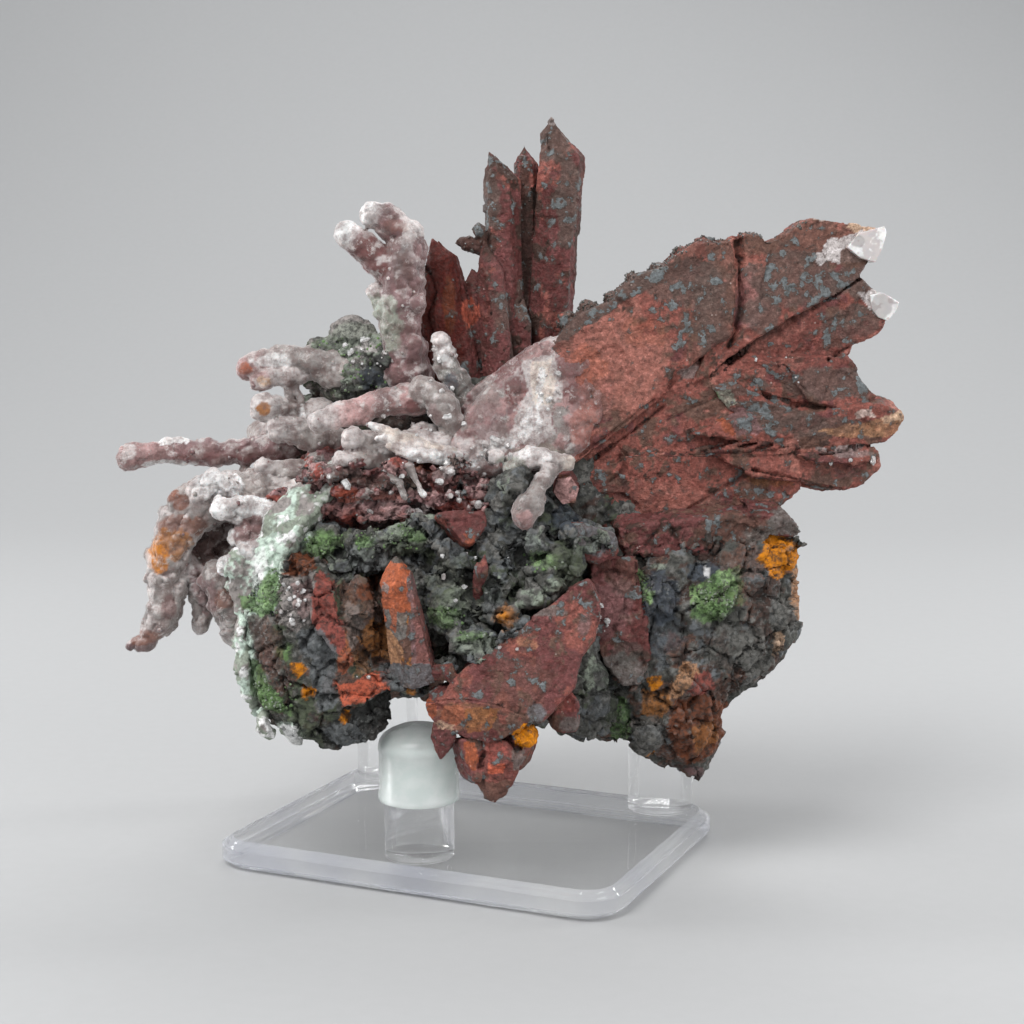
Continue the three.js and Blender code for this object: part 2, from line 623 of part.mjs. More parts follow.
function buildStone() {
  const grown = [
    ...Object.values(UPRIGHT_BLADES).map(crystal),
    ...Object.values(BACK_BLADES).map(crystal),
    ...Object.values(FACE_CRYSTALS).map(crystal),
    ...Object.values(FAN_SLABS).map(slab),
    ...Object.values(FACE_SLABS).map(slab),
    ...Object.values(FINGERS).map((path) => finger(path)),
    ...Object.values(MASSES).map(mass),
    ...Object.values(LUMPS).map(lump),
  ];
  let stone = grown.map(solidFrom).reduce((whole, next) => whole.add(next));
  for (const name of Object.keys(postPlaces)) stone = stone.subtract(seatCutter(name));
  return geometryFrom(stone);
}

// ---- the stand ---------------------------------------------------------------------------------------
function buildBase() {
  const halfWidth = BASE_WIDTH / 2;
  const halfDepth = BASE_DEPTH / 2;
  const shape = new THREE.Shape();
  shape.moveTo(-halfWidth + BASE_CORNER, -halfDepth);
  shape.lineTo(halfWidth - BASE_CORNER, -halfDepth);
  shape.absarc(halfWidth - BASE_CORNER, -halfDepth + BASE_CORNER, BASE_CORNER, -Math.PI / 2, 0);
  shape.absarc(halfWidth - BASE_CORNER, halfDepth - BASE_CORNER, BASE_CORNER, 0, Math.PI / 2);
  shape.absarc(-halfWidth + BASE_CORNER, halfDepth - BASE_CORNER, BASE_CORNER, Math.PI / 2, Math.PI);
  shape.absarc(-halfWidth + BASE_CORNER, -halfDepth + BASE_CORNER, BASE_CORNER, Math.PI, 1.5 * Math.PI);
  const geometry = new THREE.ExtrudeGeometry(shape, {
    depth: BASE_THICKNESS - 2 * BASE_BEVEL,
    bevelSize: BASE_BEVEL,
    bevelOffset: -BASE_BEVEL,
    bevelThickness: BASE_BEVEL,
    bevelSegments: 1,
    curveSegments: CORNER_STEPS,
  });
  geometry.translate(0, 0, BASE_BEVEL);
  return geometry;
}

function buildPost() {
  const height = POST_TOP - BASE_THICKNESS;
  const geometry = new THREE.CylinderGeometry(POST_RADIUS, POST_RADIUS, height, ROUND_SIDES);
  geometry.rotateX(Math.PI / 2);
  geometry.translate(0, 0, height / 2);
  return geometry;
}

// A soft sleeve closed by a dome, pulled down over the front post.
function buildCap() {
  const inner = POST_RADIUS + CAP_FIT;
  const outer = inner + CAP_WALL;
  const roof = POST_TOP + CAP_FIT;
  const profile = [
    [0, roof], [inner, roof], [inner, CAP_BOTTOM], [outer, CAP_BOTTOM],
    ...dome(outer, CAP_SHOULDER, CAP_TOP),
  ];
  return lathe(profile, ROUND_SIDES);
}

function named(name, geometry, finish) {
  const mesh = new THREE.Mesh(geometry, new THREE.MeshStandardMaterial(finish));
  mesh.name = name;
  return mesh;
}

const stand = new THREE.Group();
stand.rotation.z = STAND_TURN;
stand.add(named("stand_base", buildBase(), COLOURS.acrylic));
for (const [place, [x, y]] of Object.entries(postPlaces)) {
  const post = named(`post_${place}`, buildPost(), COLOURS.acrylic);
  post.position.set(x, y, BASE_THICKNESS);
  stand.add(post);
}
const cap = named("post_cap", buildCap(), COLOURS.silicone);
cap.position.set(...postPlaces.front, 0);
stand.add(cap);

const part = new THREE.Group();
part.add(stand);
part.add(named("quartz_cluster", buildStone(), COLOURS.stone));

export default part;
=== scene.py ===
# %% [markdown]
# # A quartz cluster on its stand
# The stone is one natural piece with four kinds of growth: flat red-brown quartz crystals with a skin of
# hematite, pale rounded fingers of chalcedony, dark broken matrix, and small sparkling or mossy crusts.
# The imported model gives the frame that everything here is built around, so it is loaded first.

# %% Load the frame
import json
import math

import bmesh
import bpy
import numpy as np
from mathutils import Matrix, Vector

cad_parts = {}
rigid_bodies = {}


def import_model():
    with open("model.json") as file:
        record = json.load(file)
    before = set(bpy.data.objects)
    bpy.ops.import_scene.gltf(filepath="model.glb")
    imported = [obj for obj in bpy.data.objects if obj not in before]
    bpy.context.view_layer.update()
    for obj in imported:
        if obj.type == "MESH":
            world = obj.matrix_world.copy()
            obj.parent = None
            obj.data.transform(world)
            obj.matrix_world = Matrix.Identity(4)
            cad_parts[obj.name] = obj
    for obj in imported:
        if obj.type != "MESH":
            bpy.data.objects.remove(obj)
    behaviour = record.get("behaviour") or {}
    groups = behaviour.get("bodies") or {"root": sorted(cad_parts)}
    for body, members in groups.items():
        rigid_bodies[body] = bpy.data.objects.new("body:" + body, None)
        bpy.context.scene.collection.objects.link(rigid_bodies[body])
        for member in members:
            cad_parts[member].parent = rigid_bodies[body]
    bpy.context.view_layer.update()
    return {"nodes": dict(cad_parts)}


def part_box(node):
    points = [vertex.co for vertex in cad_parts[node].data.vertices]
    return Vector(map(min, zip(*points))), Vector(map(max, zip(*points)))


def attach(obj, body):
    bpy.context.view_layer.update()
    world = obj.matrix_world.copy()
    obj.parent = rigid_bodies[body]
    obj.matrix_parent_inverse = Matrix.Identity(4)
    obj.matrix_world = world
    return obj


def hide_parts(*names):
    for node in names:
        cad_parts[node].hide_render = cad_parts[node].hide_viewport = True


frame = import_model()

MM = 0.001
rng = np.random.default_rng(7)
print("frame nodes:", sorted(frame["nodes"]))

# %% [markdown]
# ## How one piece grows
# A natural crust has no seams, so each family of shapes is collected in one mesh, in edit mode, and then
# given one skin by a voxel remesh. Sizes are written in millimetres and turned into metres on the way in.

# %% Begin a piece, and give it one skin
def deselect():
    if bpy.context.mode != "OBJECT":
        bpy.ops.object.mode_set(mode="OBJECT")
    bpy.ops.object.select_all(action="DESELECT")


def begin(name):
    deselect()
    piece = bpy.data.objects.new(name, bpy.data.meshes.new(name))
    bpy.context.collection.objects.link(piece)
    bpy.context.view_layer.objects.active = piece
    piece.select_set(True)
    bpy.ops.object.mode_set(mode="EDIT")
    return piece


def one_skin(piece, voxel, smooth=1):
    bpy.ops.object.mode_set(mode="OBJECT")
    piece.data.remesh_voxel_size = voxel * MM
    bpy.ops.object.voxel_remesh()
    if smooth:
        modifier = piece.modifiers.new("soften", "SMOOTH")
        modifier.factor = 0.5
        modifier.iterations = smooth
        bpy.ops.object.modifier_apply(modifier=modifier.name)
    print(piece.name, "has", len(piece.data.polygons), "faces")


# %% [markdown]
# ## Balls, boulders, crystals, slabs, fingers and masses
# These six shapes make the whole stone. A boulder is a ball with few faces. A crystal is a six-sided cone
# cut short, whose upper cap is poked and its new point dragged to where the real one ends. A slab is a
# filled ring whose corners are dragged to an outline, and which is then extruded and bevelled. A finger is
# a chain of balls that touch, as chalcedony grows. A mass is a ball whose points are pulled out to an
# outline.

# %% Ball
def ball(centre, reach, level=2):
    bpy.ops.mesh.primitive_ico_sphere_add(
        subdivisions=level, radius=MM, location=Vector(centre) * MM, scale=Vector(reach))


# %% Boulder
def boulder(centre, reach):
    """A lump with twenty flat faces, turned a little at random: broken stone shows such faces."""
    bpy.ops.mesh.primitive_ico_sphere_add(
        subdivisions=1, radius=1.1 * MM, location=Vector(centre) * MM, rotation=rng.uniform(-0.5, 0.5, 3),
        scale=Vector(reach))


def balls(level, places):
    for centre, reach in places:
        ball(centre, reach, level)


def boulders(places):
    for centre, reach in places:
        boulder(centre, reach)


# %% Crystal
def sideways(axis, roll):
    start = Vector((0, 0, -1)) if abs(axis.x) > 0.8 else Vector((1, 0, 0))
    wide = (start - axis * start.dot(axis)).normalized()
    wide.rotate(Matrix.Rotation(math.radians(roll), 3, axis))
    return wide, axis.cross(wide)


def crystal(foot, shoulder, point, width, thickness, roll=0, foot_scale=0.9):
    foot, shoulder = Vector(foot), Vector(shoulder)
    axis = (shoulder - foot).normalized()
    wide, thick = sideways(axis, roll)
    turn = Matrix((-thick, wide, axis)).transposed().to_euler()
    half = MM / 2
    bpy.ops.mesh.primitive_cone_add(
        vertices=6, radius1=half * foot_scale, radius2=half, depth=(shoulder - foot).length * MM,
        location=(foot + shoulder) * half, rotation=turn,
        scale=(thickness / math.sin(math.radians(60)), width, 1))
    edit = bmesh.from_edit_mesh(bpy.context.object.data)
    caps = [f for f in edit.faces if f.select and len(f.verts) == 6]
    top = max(caps, key=lambda f: f.calc_center_median().dot(axis))
    middle = top.calc_center_median()
    bpy.ops.mesh.select_all(action="DESELECT")
    top.select_set(True)
    bmesh.update_edit_mesh(bpy.context.object.data)
    bpy.ops.mesh.poke()
    edit = bmesh.from_edit_mesh(bpy.context.object.data)
    tip = min((v for v in edit.verts if v.select), key=lambda v: (v.co - middle).length)
    bpy.ops.mesh.select_all(action="DESELECT")
    tip.select_set(True)
    bmesh.update_edit_mesh(bpy.context.object.data)
    bpy.ops.transform.translate(value=Vector(point) * MM - middle)


# %% Slab
def slab(front, depth, turn, lean, bevel, outline):
    middle = Vector((sum(x for x, z in outline), 0, sum(z for x, z in outline))) / len(outline)
    middle.y = front
    tilt = Matrix.Rotation(math.radians(turn), 3, "Z") @ Matrix.Rotation(math.radians(lean), 3, "X")
    bpy.ops.mesh.primitive_circle_add(vertices=len(outline), radius=MM, fill_type="NGON")
    edit = bmesh.from_edit_mesh(bpy.context.object.data)
    corners = [v for v in edit.verts if v.select]
    for corner, (x, z) in zip(corners, outline):
        corner.co = (middle + tilt @ Vector((x - middle.x, 0, z - middle.z))) * MM
    bmesh.update_edit_mesh(bpy.context.object.data)
    bpy.ops.mesh.extrude_region_move(TRANSFORM_OT_translate={"value": tilt @ Vector((0, depth * MM, 0))})
    bpy.ops.mesh.select_linked()
    bpy.ops.mesh.normals_make_consistent(inside=False)
    bpy.ops.mesh.bevel(offset=bevel * MM, segments=1, affect="EDGES")


# %% Finger
def along(path, share):
    """A point [x, y, z, radius] on the smooth curve through a path, for a share of it between 0 and 1."""
    points = [2 * path[0] - path[1], *path, 2 * path[-1] - path[-2]]
    place = min(share * (len(path) - 1), len(path) - 1.0001)
    i, t = int(place), place % 1
    a, b, c, d = points[i:i + 4]
    return 0.5 * (2 * b + (c - a) * t + (2 * a - 5 * b + 4 * c - d) * t**2 + (3 * b - a - 3 * c + d) * t**3)


def finger(path, knobs=0.07, spacing=0.45, level=2):
    path = np.array(path, float)
    length = np.linalg.norm(np.diff(path[:, :3], axis=0), axis=1).sum()
    count = max(3, int(length / (spacing * path[:, 3].mean())))
    for i in range(count + 1):
        x, y, z, radius = along(path, i / count)
        drift = rng.normal(0, 0.05 * radius, 3)
        swell = radius * (1 + rng.uniform(-knobs, knobs))
        ball((x + drift[0], y + drift[1], z + drift[2]), (swell, swell, swell), level)


# %% Mass
FULLNESS = 2.7  # how a mass fills its outline: 2 is an ellipsoid, more is nearer to a block


def reach_to_outline(outline, centre, direction):
    reach = 0
    for (x1, z1), (x2, z2) in zip(outline, outline[1:] + outline[:1]):
        along_x, along_z = x2 - x1, z2 - z1
        from_x, from_z = x1 - centre[0], z1 - centre[1]
        across = direction[0] * along_z - direction[1] * along_x
        if abs(across) < 1e-9:
            continue
        distance = (from_x * along_z - from_z * along_x) / across
        share = (from_x * direction[1] - from_z * direction[0]) / across
        if distance > 0 and 0 <= share <= 1:
            reach = max(reach, distance)
    return reach


def mass(front, back, middle, outline):
    bpy.ops.mesh.primitive_ico_sphere_add(subdivisions=5, radius=1)
    edit = bmesh.from_edit_mesh(bpy.context.object.data)
    for v in [v for v in edit.verts if v.select]:
        across = math.hypot(v.co.x, v.co.z)
        fuller = (across**FULLNESS + abs(v.co.y)**FULLNESS) ** (-1 / FULLNESS)
        direction = (v.co.x / max(across, 1e-6), v.co.z / max(across, 1e-6))
        reach = reach_to_outline(outline, middle, direction) * across * fuller
        y = (front + back) / 2 + (back - front) / 2 * v.co.y * fuller
        v.co = Vector((middle[0] + direction[0] * reach, y, middle[1] + direction[1] * reach)) * MM
    bmesh.update_edit_mesh(bpy.context.object.data)
    bpy.ops.mesh.normals_make_consistent(inside=False)


# %% [markdown]
# ## Noise and cells as arrays
# Stone is rough at several sizes at once, and one growth stops where the next begins. Both are worked out
# here from two plain patterns, which give a number for every point of a mesh: smooth noise, and cells like
# those of a dried mud floor. They are seeded, so that the stone is the same each time.

# %% Points and normals
def array_of(piece, what):
    data = np.empty(len(piece.data.vertices) * 3, np.float32)
    piece.data.vertices.foreach_get(what, data)
    return data.reshape(-1, 3).astype(float)


def points_of(piece):
    return array_of(piece, "co") / MM


def normals_of(piece):
    return array_of(piece, "normal")


def move_out(piece, height):
    """Move each point along its normal by its own height in millimetres."""
    moved = (points_of(piece) + normals_of(piece) * height[:, None]) * MM
    piece.data.vertices.foreach_set("co", moved.astype(np.float32).ravel())
    piece.data.update()


def step(low, high, value):
    t = np.clip((value - low) / (high - low), 0, 1)
    return t * t * (3 - 2 * t)


# %% Noise and cells
SPREAD = np.array([[127.1, 269.5, 419.2], [311.7, 183.3, 371.9], [74.7, 246.1, 124.6]])


def chance(cell, seed=0):
    """Three numbers between 0 and 1 that belong to each whole-numbered cell."""
    wave = np.sin(cell @ SPREAD + seed * 1.7) * 43758.5453
    return wave - np.floor(wave)


def noise_at(points, size, seed=0):
    """Smooth noise between -1 and 1 for each point, with features about as wide as size."""
    place = points / size + seed * 17.31
    cell = np.floor(place)
    t = place - cell
    t = t * t * (3 - 2 * t)
    total = np.zeros(len(points))
    for corner in np.ndindex(2, 2, 2):
        weight = np.prod(np.where(corner, t, 1 - t), axis=1)
        total += weight * (chance(cell + corner, seed)[:, 0] * 2 - 1)
    return total


def cells_at(points, size, seed=0):
    """For each point the distances to the two nearest cell middles, its climb up the slope of its own cell,
    and that cell's number between 0 and 1."""
    place = points / size + seed * 7.77
    cell = np.floor(place)
    nearest, second = np.full(len(points), 9.0), np.full(len(points), 9.0)
    climb, number = np.zeros(len(points)), np.zeros(len(points))
    for corner in np.ndindex(3, 3, 3):
        at = cell + corner - 1
        away = place - at - chance(at, seed)
        distance = np.linalg.norm(away, axis=1)
        slope = chance(at, seed + 5) * 2 - 1
        nearer = distance < nearest
        second = np.where(nearer, nearest, np.minimum(second, distance))
        nearest[nearer] = distance[nearer]
        climb[nearer] = ((away * slope).sum(axis=1) + slope[:, 0] * 0.4)[nearer]
        number[nearer] = slope[nearer, 1] / 2 + 0.5
    return nearest, second, climb, number


# %% [markdown]
# ## Relief
# Swells and grain are Displace modifiers with procedural textures, applied at once, so that the relief is
# real geometry and shows in the outline too. Quartz and its matrix break in flat tilted facets, which no
# cloud texture gives: fracture moves each point by the slope of the cell that it lies in.

# %% Textures for relief
def cloud(name, size, depth=2, hard=False):
    texture = bpy.data.textures.new(name, "CLOUDS")
    texture.noise_scale = size * MM
    texture.noise_depth = depth
    texture.noise_type = "HARD_NOISE" if hard else "SOFT_NOISE"
    return texture


SWELLS = cloud("swells", 8)
GRAIN = cloud("grain", 0.8, depth=2, hard=True)
SKIN = cloud("skin", 2.0, depth=3)


def relief(piece, texture, height):
    modifier = piece.modifiers.new(texture.name, "DISPLACE")
    modifier.texture = texture
    modifier.texture_coords = "LOCAL"
    modifier.strength = height * MM
    modifier.mid_level = 0.5
    bpy.ops.object.modifier_apply(modifier=modifier.name)


CRACK_WIDTH = 0.5


def fracture(piece, size, height, crack=0, seed=0):
    """Break the surface into tilted facets about as wide as size, with cracks of the given depth between."""
    points = points_of(piece)
    bend = [noise_at(points, size, 41), noise_at(points, size, 42), noise_at(points, size, 43)]
    nearest, second, climb = cells_at(points + 0.2 * size * np.transpose(bend), size, seed)[:3]
    open_joint = 1 - step(0, CRACK_WIDTH / size, second - nearest)
    move_out(piece, height * np.clip(climb, -0.9, 0.9) - crack * open_joint)


def streak(piece, direction, size, height):
    """Raise fine ridges that run along a direction, as in dripping wax or on a growing crystal face."""
    points, direction = points_of(piece), np.array(Vector(direction).normalized())
    squeezed = points - 0.85 * (points @ direction)[:, None] * direction
    move_out(piece, height * (noise_at(squeezed, size, 51) + 0.5 * noise_at(squeezed, size / 2, 52)))


def weather(piece, facets=(), swells=0, streaks=None, skin=0, grain=0):
    """Swells, then facets from large to small, streaks, skin and grain: each is laid over the last."""
    if swells:
        relief(piece, SWELLS, swells)
    for layer, facet in enumerate(facets):
        fracture(piece, *facet, seed=2 * layer)
    if streaks:
        streak(piece, *streaks)
    if skin:
        relief(piece, SKIN, skin)
    if grain:
        relief(piece, GRAIN, grain)


# %% [markdown]
# Some growths stand proud only in places, such as moss or limonite. Those places are named balls, with
# edges made ragged by noise, and inside them the surface is raised into small beads.

# %% Grow beads in named places
def ragged_edges(points):
    coarse, fine = 0.24 * noise_at(points, 2.4, 21), 0.2 * noise_at(points, 0.9, 22)
    return coarse + fine + 0.1 * noise_at(points, 0.5, 23)


def share_inside(points, ragged, centre, reach):
    distance = np.linalg.norm((points - centre) / reach, axis=1) + ragged
    return 1 - step(0.82, 1.0, distance)


def grow(piece, places, size, height):
    points = points_of(piece)
    inside, ragged = np.zeros(len(points)), ragged_edges(points)
    for centre, reach in places:
        inside = np.maximum(inside, share_inside(points, ragged, centre, reach))
    bulge = 1.1 - 1.4 * cells_at(points, size, 3)[0] + 0.3 * noise_at(points, 0.7 * size, 25)
    move_out(piece, inside * height * np.clip(bulge, -0.4, 1))


# %% [markdown]
# Cracks and the joints between crystals are scribed into the finished mesh: points near a line sink a
# little along their own normal, and only on the side that faces the front.

# %% Scribe a line
def scribe(piece, lines, behind=-2):
    points = points_of(piece)
    flat = points[:, [0, 2]] + 0.12 * np.c_[noise_at(points, 2.5, 31), noise_at(points, 2.5, 32)]
    sink = np.zeros(len(points))
    for path, width, depth in lines:
        for (x1, z1), (x2, z2) in zip(path, path[1:]):
            start, run = np.array([x1, z1]), np.array([x2 - x1, z2 - z1])
            share = np.clip(((flat - start) @ run) / (run @ run), 0, 1)
            distance = np.linalg.norm(flat - start - share[:, None] * run, axis=1)
            sink = np.maximum(sink, depth * (1 - step(0.1 * width, width, distance)))
    sink[points[:, 1] > behind] = 0
    move_out(piece, -sink)


# %% [markdown]
# ## Colour that belongs to a place
# The real stone is green here and ochre there, where other minerals grew on it. Each piece therefore
# carries a colour for every point of its mesh, in an attribute named tint. It starts as a mottle of a few
# colours and is then painted with named patches.

# %% Tint a piece
COLOURS = {
    "brick": (0.24, 0.078, 0.06), "clay": (0.33, 0.128, 0.098), "maroon": (0.11, 0.032, 0.029),
    "wine": (0.15, 0.05, 0.047), "brown": (0.13, 0.068, 0.05), "umber": (0.055, 0.03, 0.023),
    "slate": (0.125, 0.134, 0.14), "char": (0.03, 0.031, 0.03), "iron": (0.074, 0.073, 0.064),
    "ink": (0.048, 0.06, 0.078), "olive": (0.074, 0.088, 0.054), "moss": (0.11, 0.185, 0.07),
    "leaf": (0.15, 0.26, 0.09), "lime": (0.29, 0.43, 0.19), "sage": (0.265, 0.3, 0.24),
    "mint": (0.54, 0.65, 0.56), "pearl": (0.56, 0.51, 0.495), "white": (0.84, 0.83, 0.82),
    "cream": (0.7, 0.61, 0.54), "blush": (0.4, 0.24, 0.23), "mauve": (0.21, 0.115, 0.115),
    "smoke": (0.28, 0.25, 0.235), "ash": (0.15, 0.144, 0.132), "rust": (0.16, 0.045, 0.016),
    "orange": (0.37, 0.098, 0.042), "flame": (0.56, 0.125, 0.065), "amber": (0.34, 0.135, 0.034),
    "ochre": (0.58, 0.195, 0.002), "tan": (0.44, 0.23, 0.12), "sand": (0.56, 0.38, 0.26),
    "red": (0.28, 0.07, 0.054), "garnet": (0.08, 0.013, 0.009), "crust": (0.11, 0.072, 0.06),
}
SPECKLED = ("brick", "maroon", "wine", "brown", "umber", "mauve", "iron", "slate", "ash", "ink", "char")
SPECKS = {**dict.fromkeys(SPECKLED, 0.5), "crust": 1}


def shade_of(name):
    """A colour, and as its fourth number how thickly grey specks grow on it."""
    return np.array([*COLOURS[name], SPECKS.get(name, 0)])


def mottle(points, ground, spots):
    """Colours laid over a ground, each with the size of its spots and its share of the surface."""
    colour = np.tile(shade_of(ground), (len(points), 1))
    for layer, (name, size, share) in enumerate(spots, 1):
        spread = 0.8 * cells_at(points, size, layer)[3] - 0.4 + 0.5 * noise_at(points, 1.4 * size, layer)
        spread += 0.3 * noise_at(points, size / 4, layer + 9)
        cover = step(0.1, 0.26, spread + share - 0.35)[:, None]
        colour = colour * (1 - cover) + shade_of(name) * cover
    return colour


def patch(points, colour, patches):
    """Lay on round patches, each with its colour, middle, reach and strength."""
    ragged = ragged_edges(points)
    for name, centre, reach, strength in patches:
        cover = strength * share_inside(points, ragged, centre, reach)[:, None]
        colour = colour * (1 - cover) + shade_of(name) * cover
    return colour


def paint(points, colour, areas, behind):
    """Lay on patches with outlines as seen from the front, in front of a depth."""
    bend = np.c_[noise_at(points, 1.8, 26), noise_at(points, 1.8, 27)] + \
        0.5 * np.c_[noise_at(points, 0.7, 28), noise_at(points, 0.7, 29)]
    across, height = (points[:, [0, 2]] + 0.45 * bend).T
    for name, strength, outline in areas:
        inside = np.zeros(len(points), bool)
        for (x1, z1), (x2, z2) in zip(outline, outline[1:] + outline[:1]):
            if z1 != z2:
                left_of = across < x1 + (x2 - x1) * (height - z1) / (z2 - z1)
                inside ^= ((z1 > height) != (z2 > height)) & left_of
        cover = (strength * (inside & (points[:, 1] < behind)))[:, None]
        colour = colour * (1 - cover) + shade_of(name) * cover
    return colour


def tint(piece, ground, spots=(), patches=(), areas=(), behind=0):
    """The ground is the name of a colour, or an array with a colour for every point."""
    points = points_of(piece)
    colour = mottle(points, ground, spots) if isinstance(ground, str) else ground
    colour = paint(points, patch(points, colour, patches), areas, behind)
    attribute = piece.data.attributes.new("tint", "FLOAT_COLOR", "POINT")
    attribute.data.foreach_set("color", np.clip(colour, 0, 1).astype(np.float32).ravel())


# %% [markdown]
# ## Upright hematite blades
# Flat quartz crystals stand side by side, each with a skin of red hematite. They are cut-short cones with
# poked caps, and one skin is drawn over them with a fine voxel so that their faces stay flat and their
# edges only slightly rounded.

# %% Upright blades
# foot, shoulder, point, width, thickness, and where they differ from the usual: roll, foot scale
UPRIGHT_BLADES = [
    ((12.8, 7, 76), (16.2, 7, 124.6), (14.2, 5.6, 131.2), 8.6, 6, 16),
    ((6.4, 5, 78), (5.6, 5, 120.2), (3.4, 4, 124.9), 7, 5.2, -12),
    ((14, 6.6, 112), (13.9, 6.6, 128.4), (14.2, 6, 131), 3.2, 4, 10),
    ((4.6, 5, 112), (4.6, 5, 122), (4.4, 5, 124.4), 4.4, 4.2, 6),
    ((10.4, 9, 90), (9.9, 9, 123), (9.5, 9, 126.6), 4.4, 4),
    ((6.2, 1, 78), (3.6, 2, 104), (2.4, 2, 109.8), 5.4, 4.4, 18, 1.4),
    ((3.5, 3, 80), (-4.2, 3, 106.5), (-5.7, 3, 109.7), 4.2, 3.2, 20),
    ((1.4, 2, 78), (-5.4, 1, 106.2), (-6.6, 0.6, 110), 5, 3.6, -10, 1.1),
    ((-3.4, 1.4, 78), (-8.6, 1.6, 103), (-9.8, 1.6, 106.5), 6, 3.8, 8),
    ((4.2, 3, 80), (1, 3, 102.5), (0.4, 3, 105), 3.8, 3),
    ((6, 4.6, 106.6), (-0.6, 3, 109.2), (-3, 3, 109.2), 2.8, 2.6),
    ((9.4, 3, 76), (8.6, 3.4, 96), (9.4, 3.4, 99.5), 4.4, 4, 25),
    ((-3, 3, 78), (-5.4, -0.6, 97), (-5.8, -0.6, 101), 3.6, 3),
]

blades = begin("upright_blades")
for shape in UPRIGHT_BLADES:
    crystal(*shape)
balls(1, [
    ((2, 4, 109.8), (1.4, 2.2, 2.2)), ((-1.2, 3, 109.3), (1.7, 1.4, 1)), ((1.5, 2, 111.4), (1.2, 1.1, 1.4)),
    ((9.2, 8, 124), (1.2, 1.2, 1))])
one_skin(blades, 0.28)
weather(blades, [(6, 0.3)], streaks=((0, 0, 1), 1.6, 0.12), skin=0.2, grain=0.2)
tint(blades, "wine", [("maroon", 5, 0.5), ("brick", 4, 0.2), ("umber", 2.6, 0.22)], [
    ("umber", (1, 3, 109.6), (5, 9, 3.4), 0.85), ("umber", (9.6, 9, 112), (1.6, 6, 16), 0.85),
    # The umber strip along the right edge of the tall blade is painted shade on its right face.
    ("umber", (19.6, 8, 110), (1.2, 6, 22), 0.6), ("crust", (3, 3, 115.6), (2.6, 6, 6), 0.95),
    ("slate", (2, 3, 115), (1, 6, 3), 0.5), ("umber", (4, 3, 122), (3, 6, 3), 0.6),
    ("crust", (14, 4, 128), (5, 6, 5), 0.9), ("umber", (14, 4, 129), (3, 6, 3), 0.5),
    ("crust", (9.4, 3, 99), (1.6, 6, 4.4), 0.9), ("crust", (17.4, 4, 116), (2.6, 4, 9), 0.9),
    ("crust", (5.4, 1, 97), (2, 4, 4), 0.8), ("smoke", (14.2, 6, 130.6), (1.1, 3, 1.1), 0.7),
    # The garnet and maroon patches here and the umber one two lines below darken the left blades beside the
    # great finger: painted shadow.
    ("garnet", (-5.4, 0, 96), (6.4, 7, 17), 1), ("maroon", (1.6, 2, 94), (3.4, 7, 15), 0.6),
    ("rust", (-3.6, 0, 99), (1.2, 5, 6), 0.5), ("flame", (0, 0, 97), (1.8, 5, 3), 0.4),
    ("umber", (-3.4, 3, 87), (5, 6, 4), 0.5),
])

# %% [markdown]
# ## The fan
# A fan of flattened crystals spreads to the right. They lie nearly in one plane and overlap like
# feathers, so each is a slab with its own outline, set a little in front of or behind its neighbour and
# tilted slightly. The steps between them read as the fan's dark joints, and scribed lines finish them.

# %% Fan slabs
# front, depth, turn, lean, bevel, outline
FAN = [
    (-10.3, 11, 2, -2, 0.5, [(8, 80), (8, 88), (15.2, 93), (16.6, 95), (19, 97.4), (24, 99.2), (25.6, 101.5),
     (28.5, 104.1), (33, 104.9), (35, 107), (39, 109.5), (44.5, 109.8), (45.3, 107.3), (45.6, 99.2),
     (45.1, 95.6), (44.7, 93.4), (42.6, 92), (37.8, 87.9), (35.2, 87), (33.2, 82.6), (31, 81.2), (18.8, 71.8),
     (13, 70)]),
    (-8.7, 13, 2, 1, 0.6, [(12, 60), (14, 72), (18.8, 75), (31.4, 84), (36, 89), (42.9, 89), (46, 88),
     (50, 86), (51, 79.4), (52, 74), (56, 70.6), (58, 68), (57.3, 66.5), (55.1, 64.6), (52.3, 62.3), (44, 58),
     (28, 53.4), (20, 54.4)]),
]
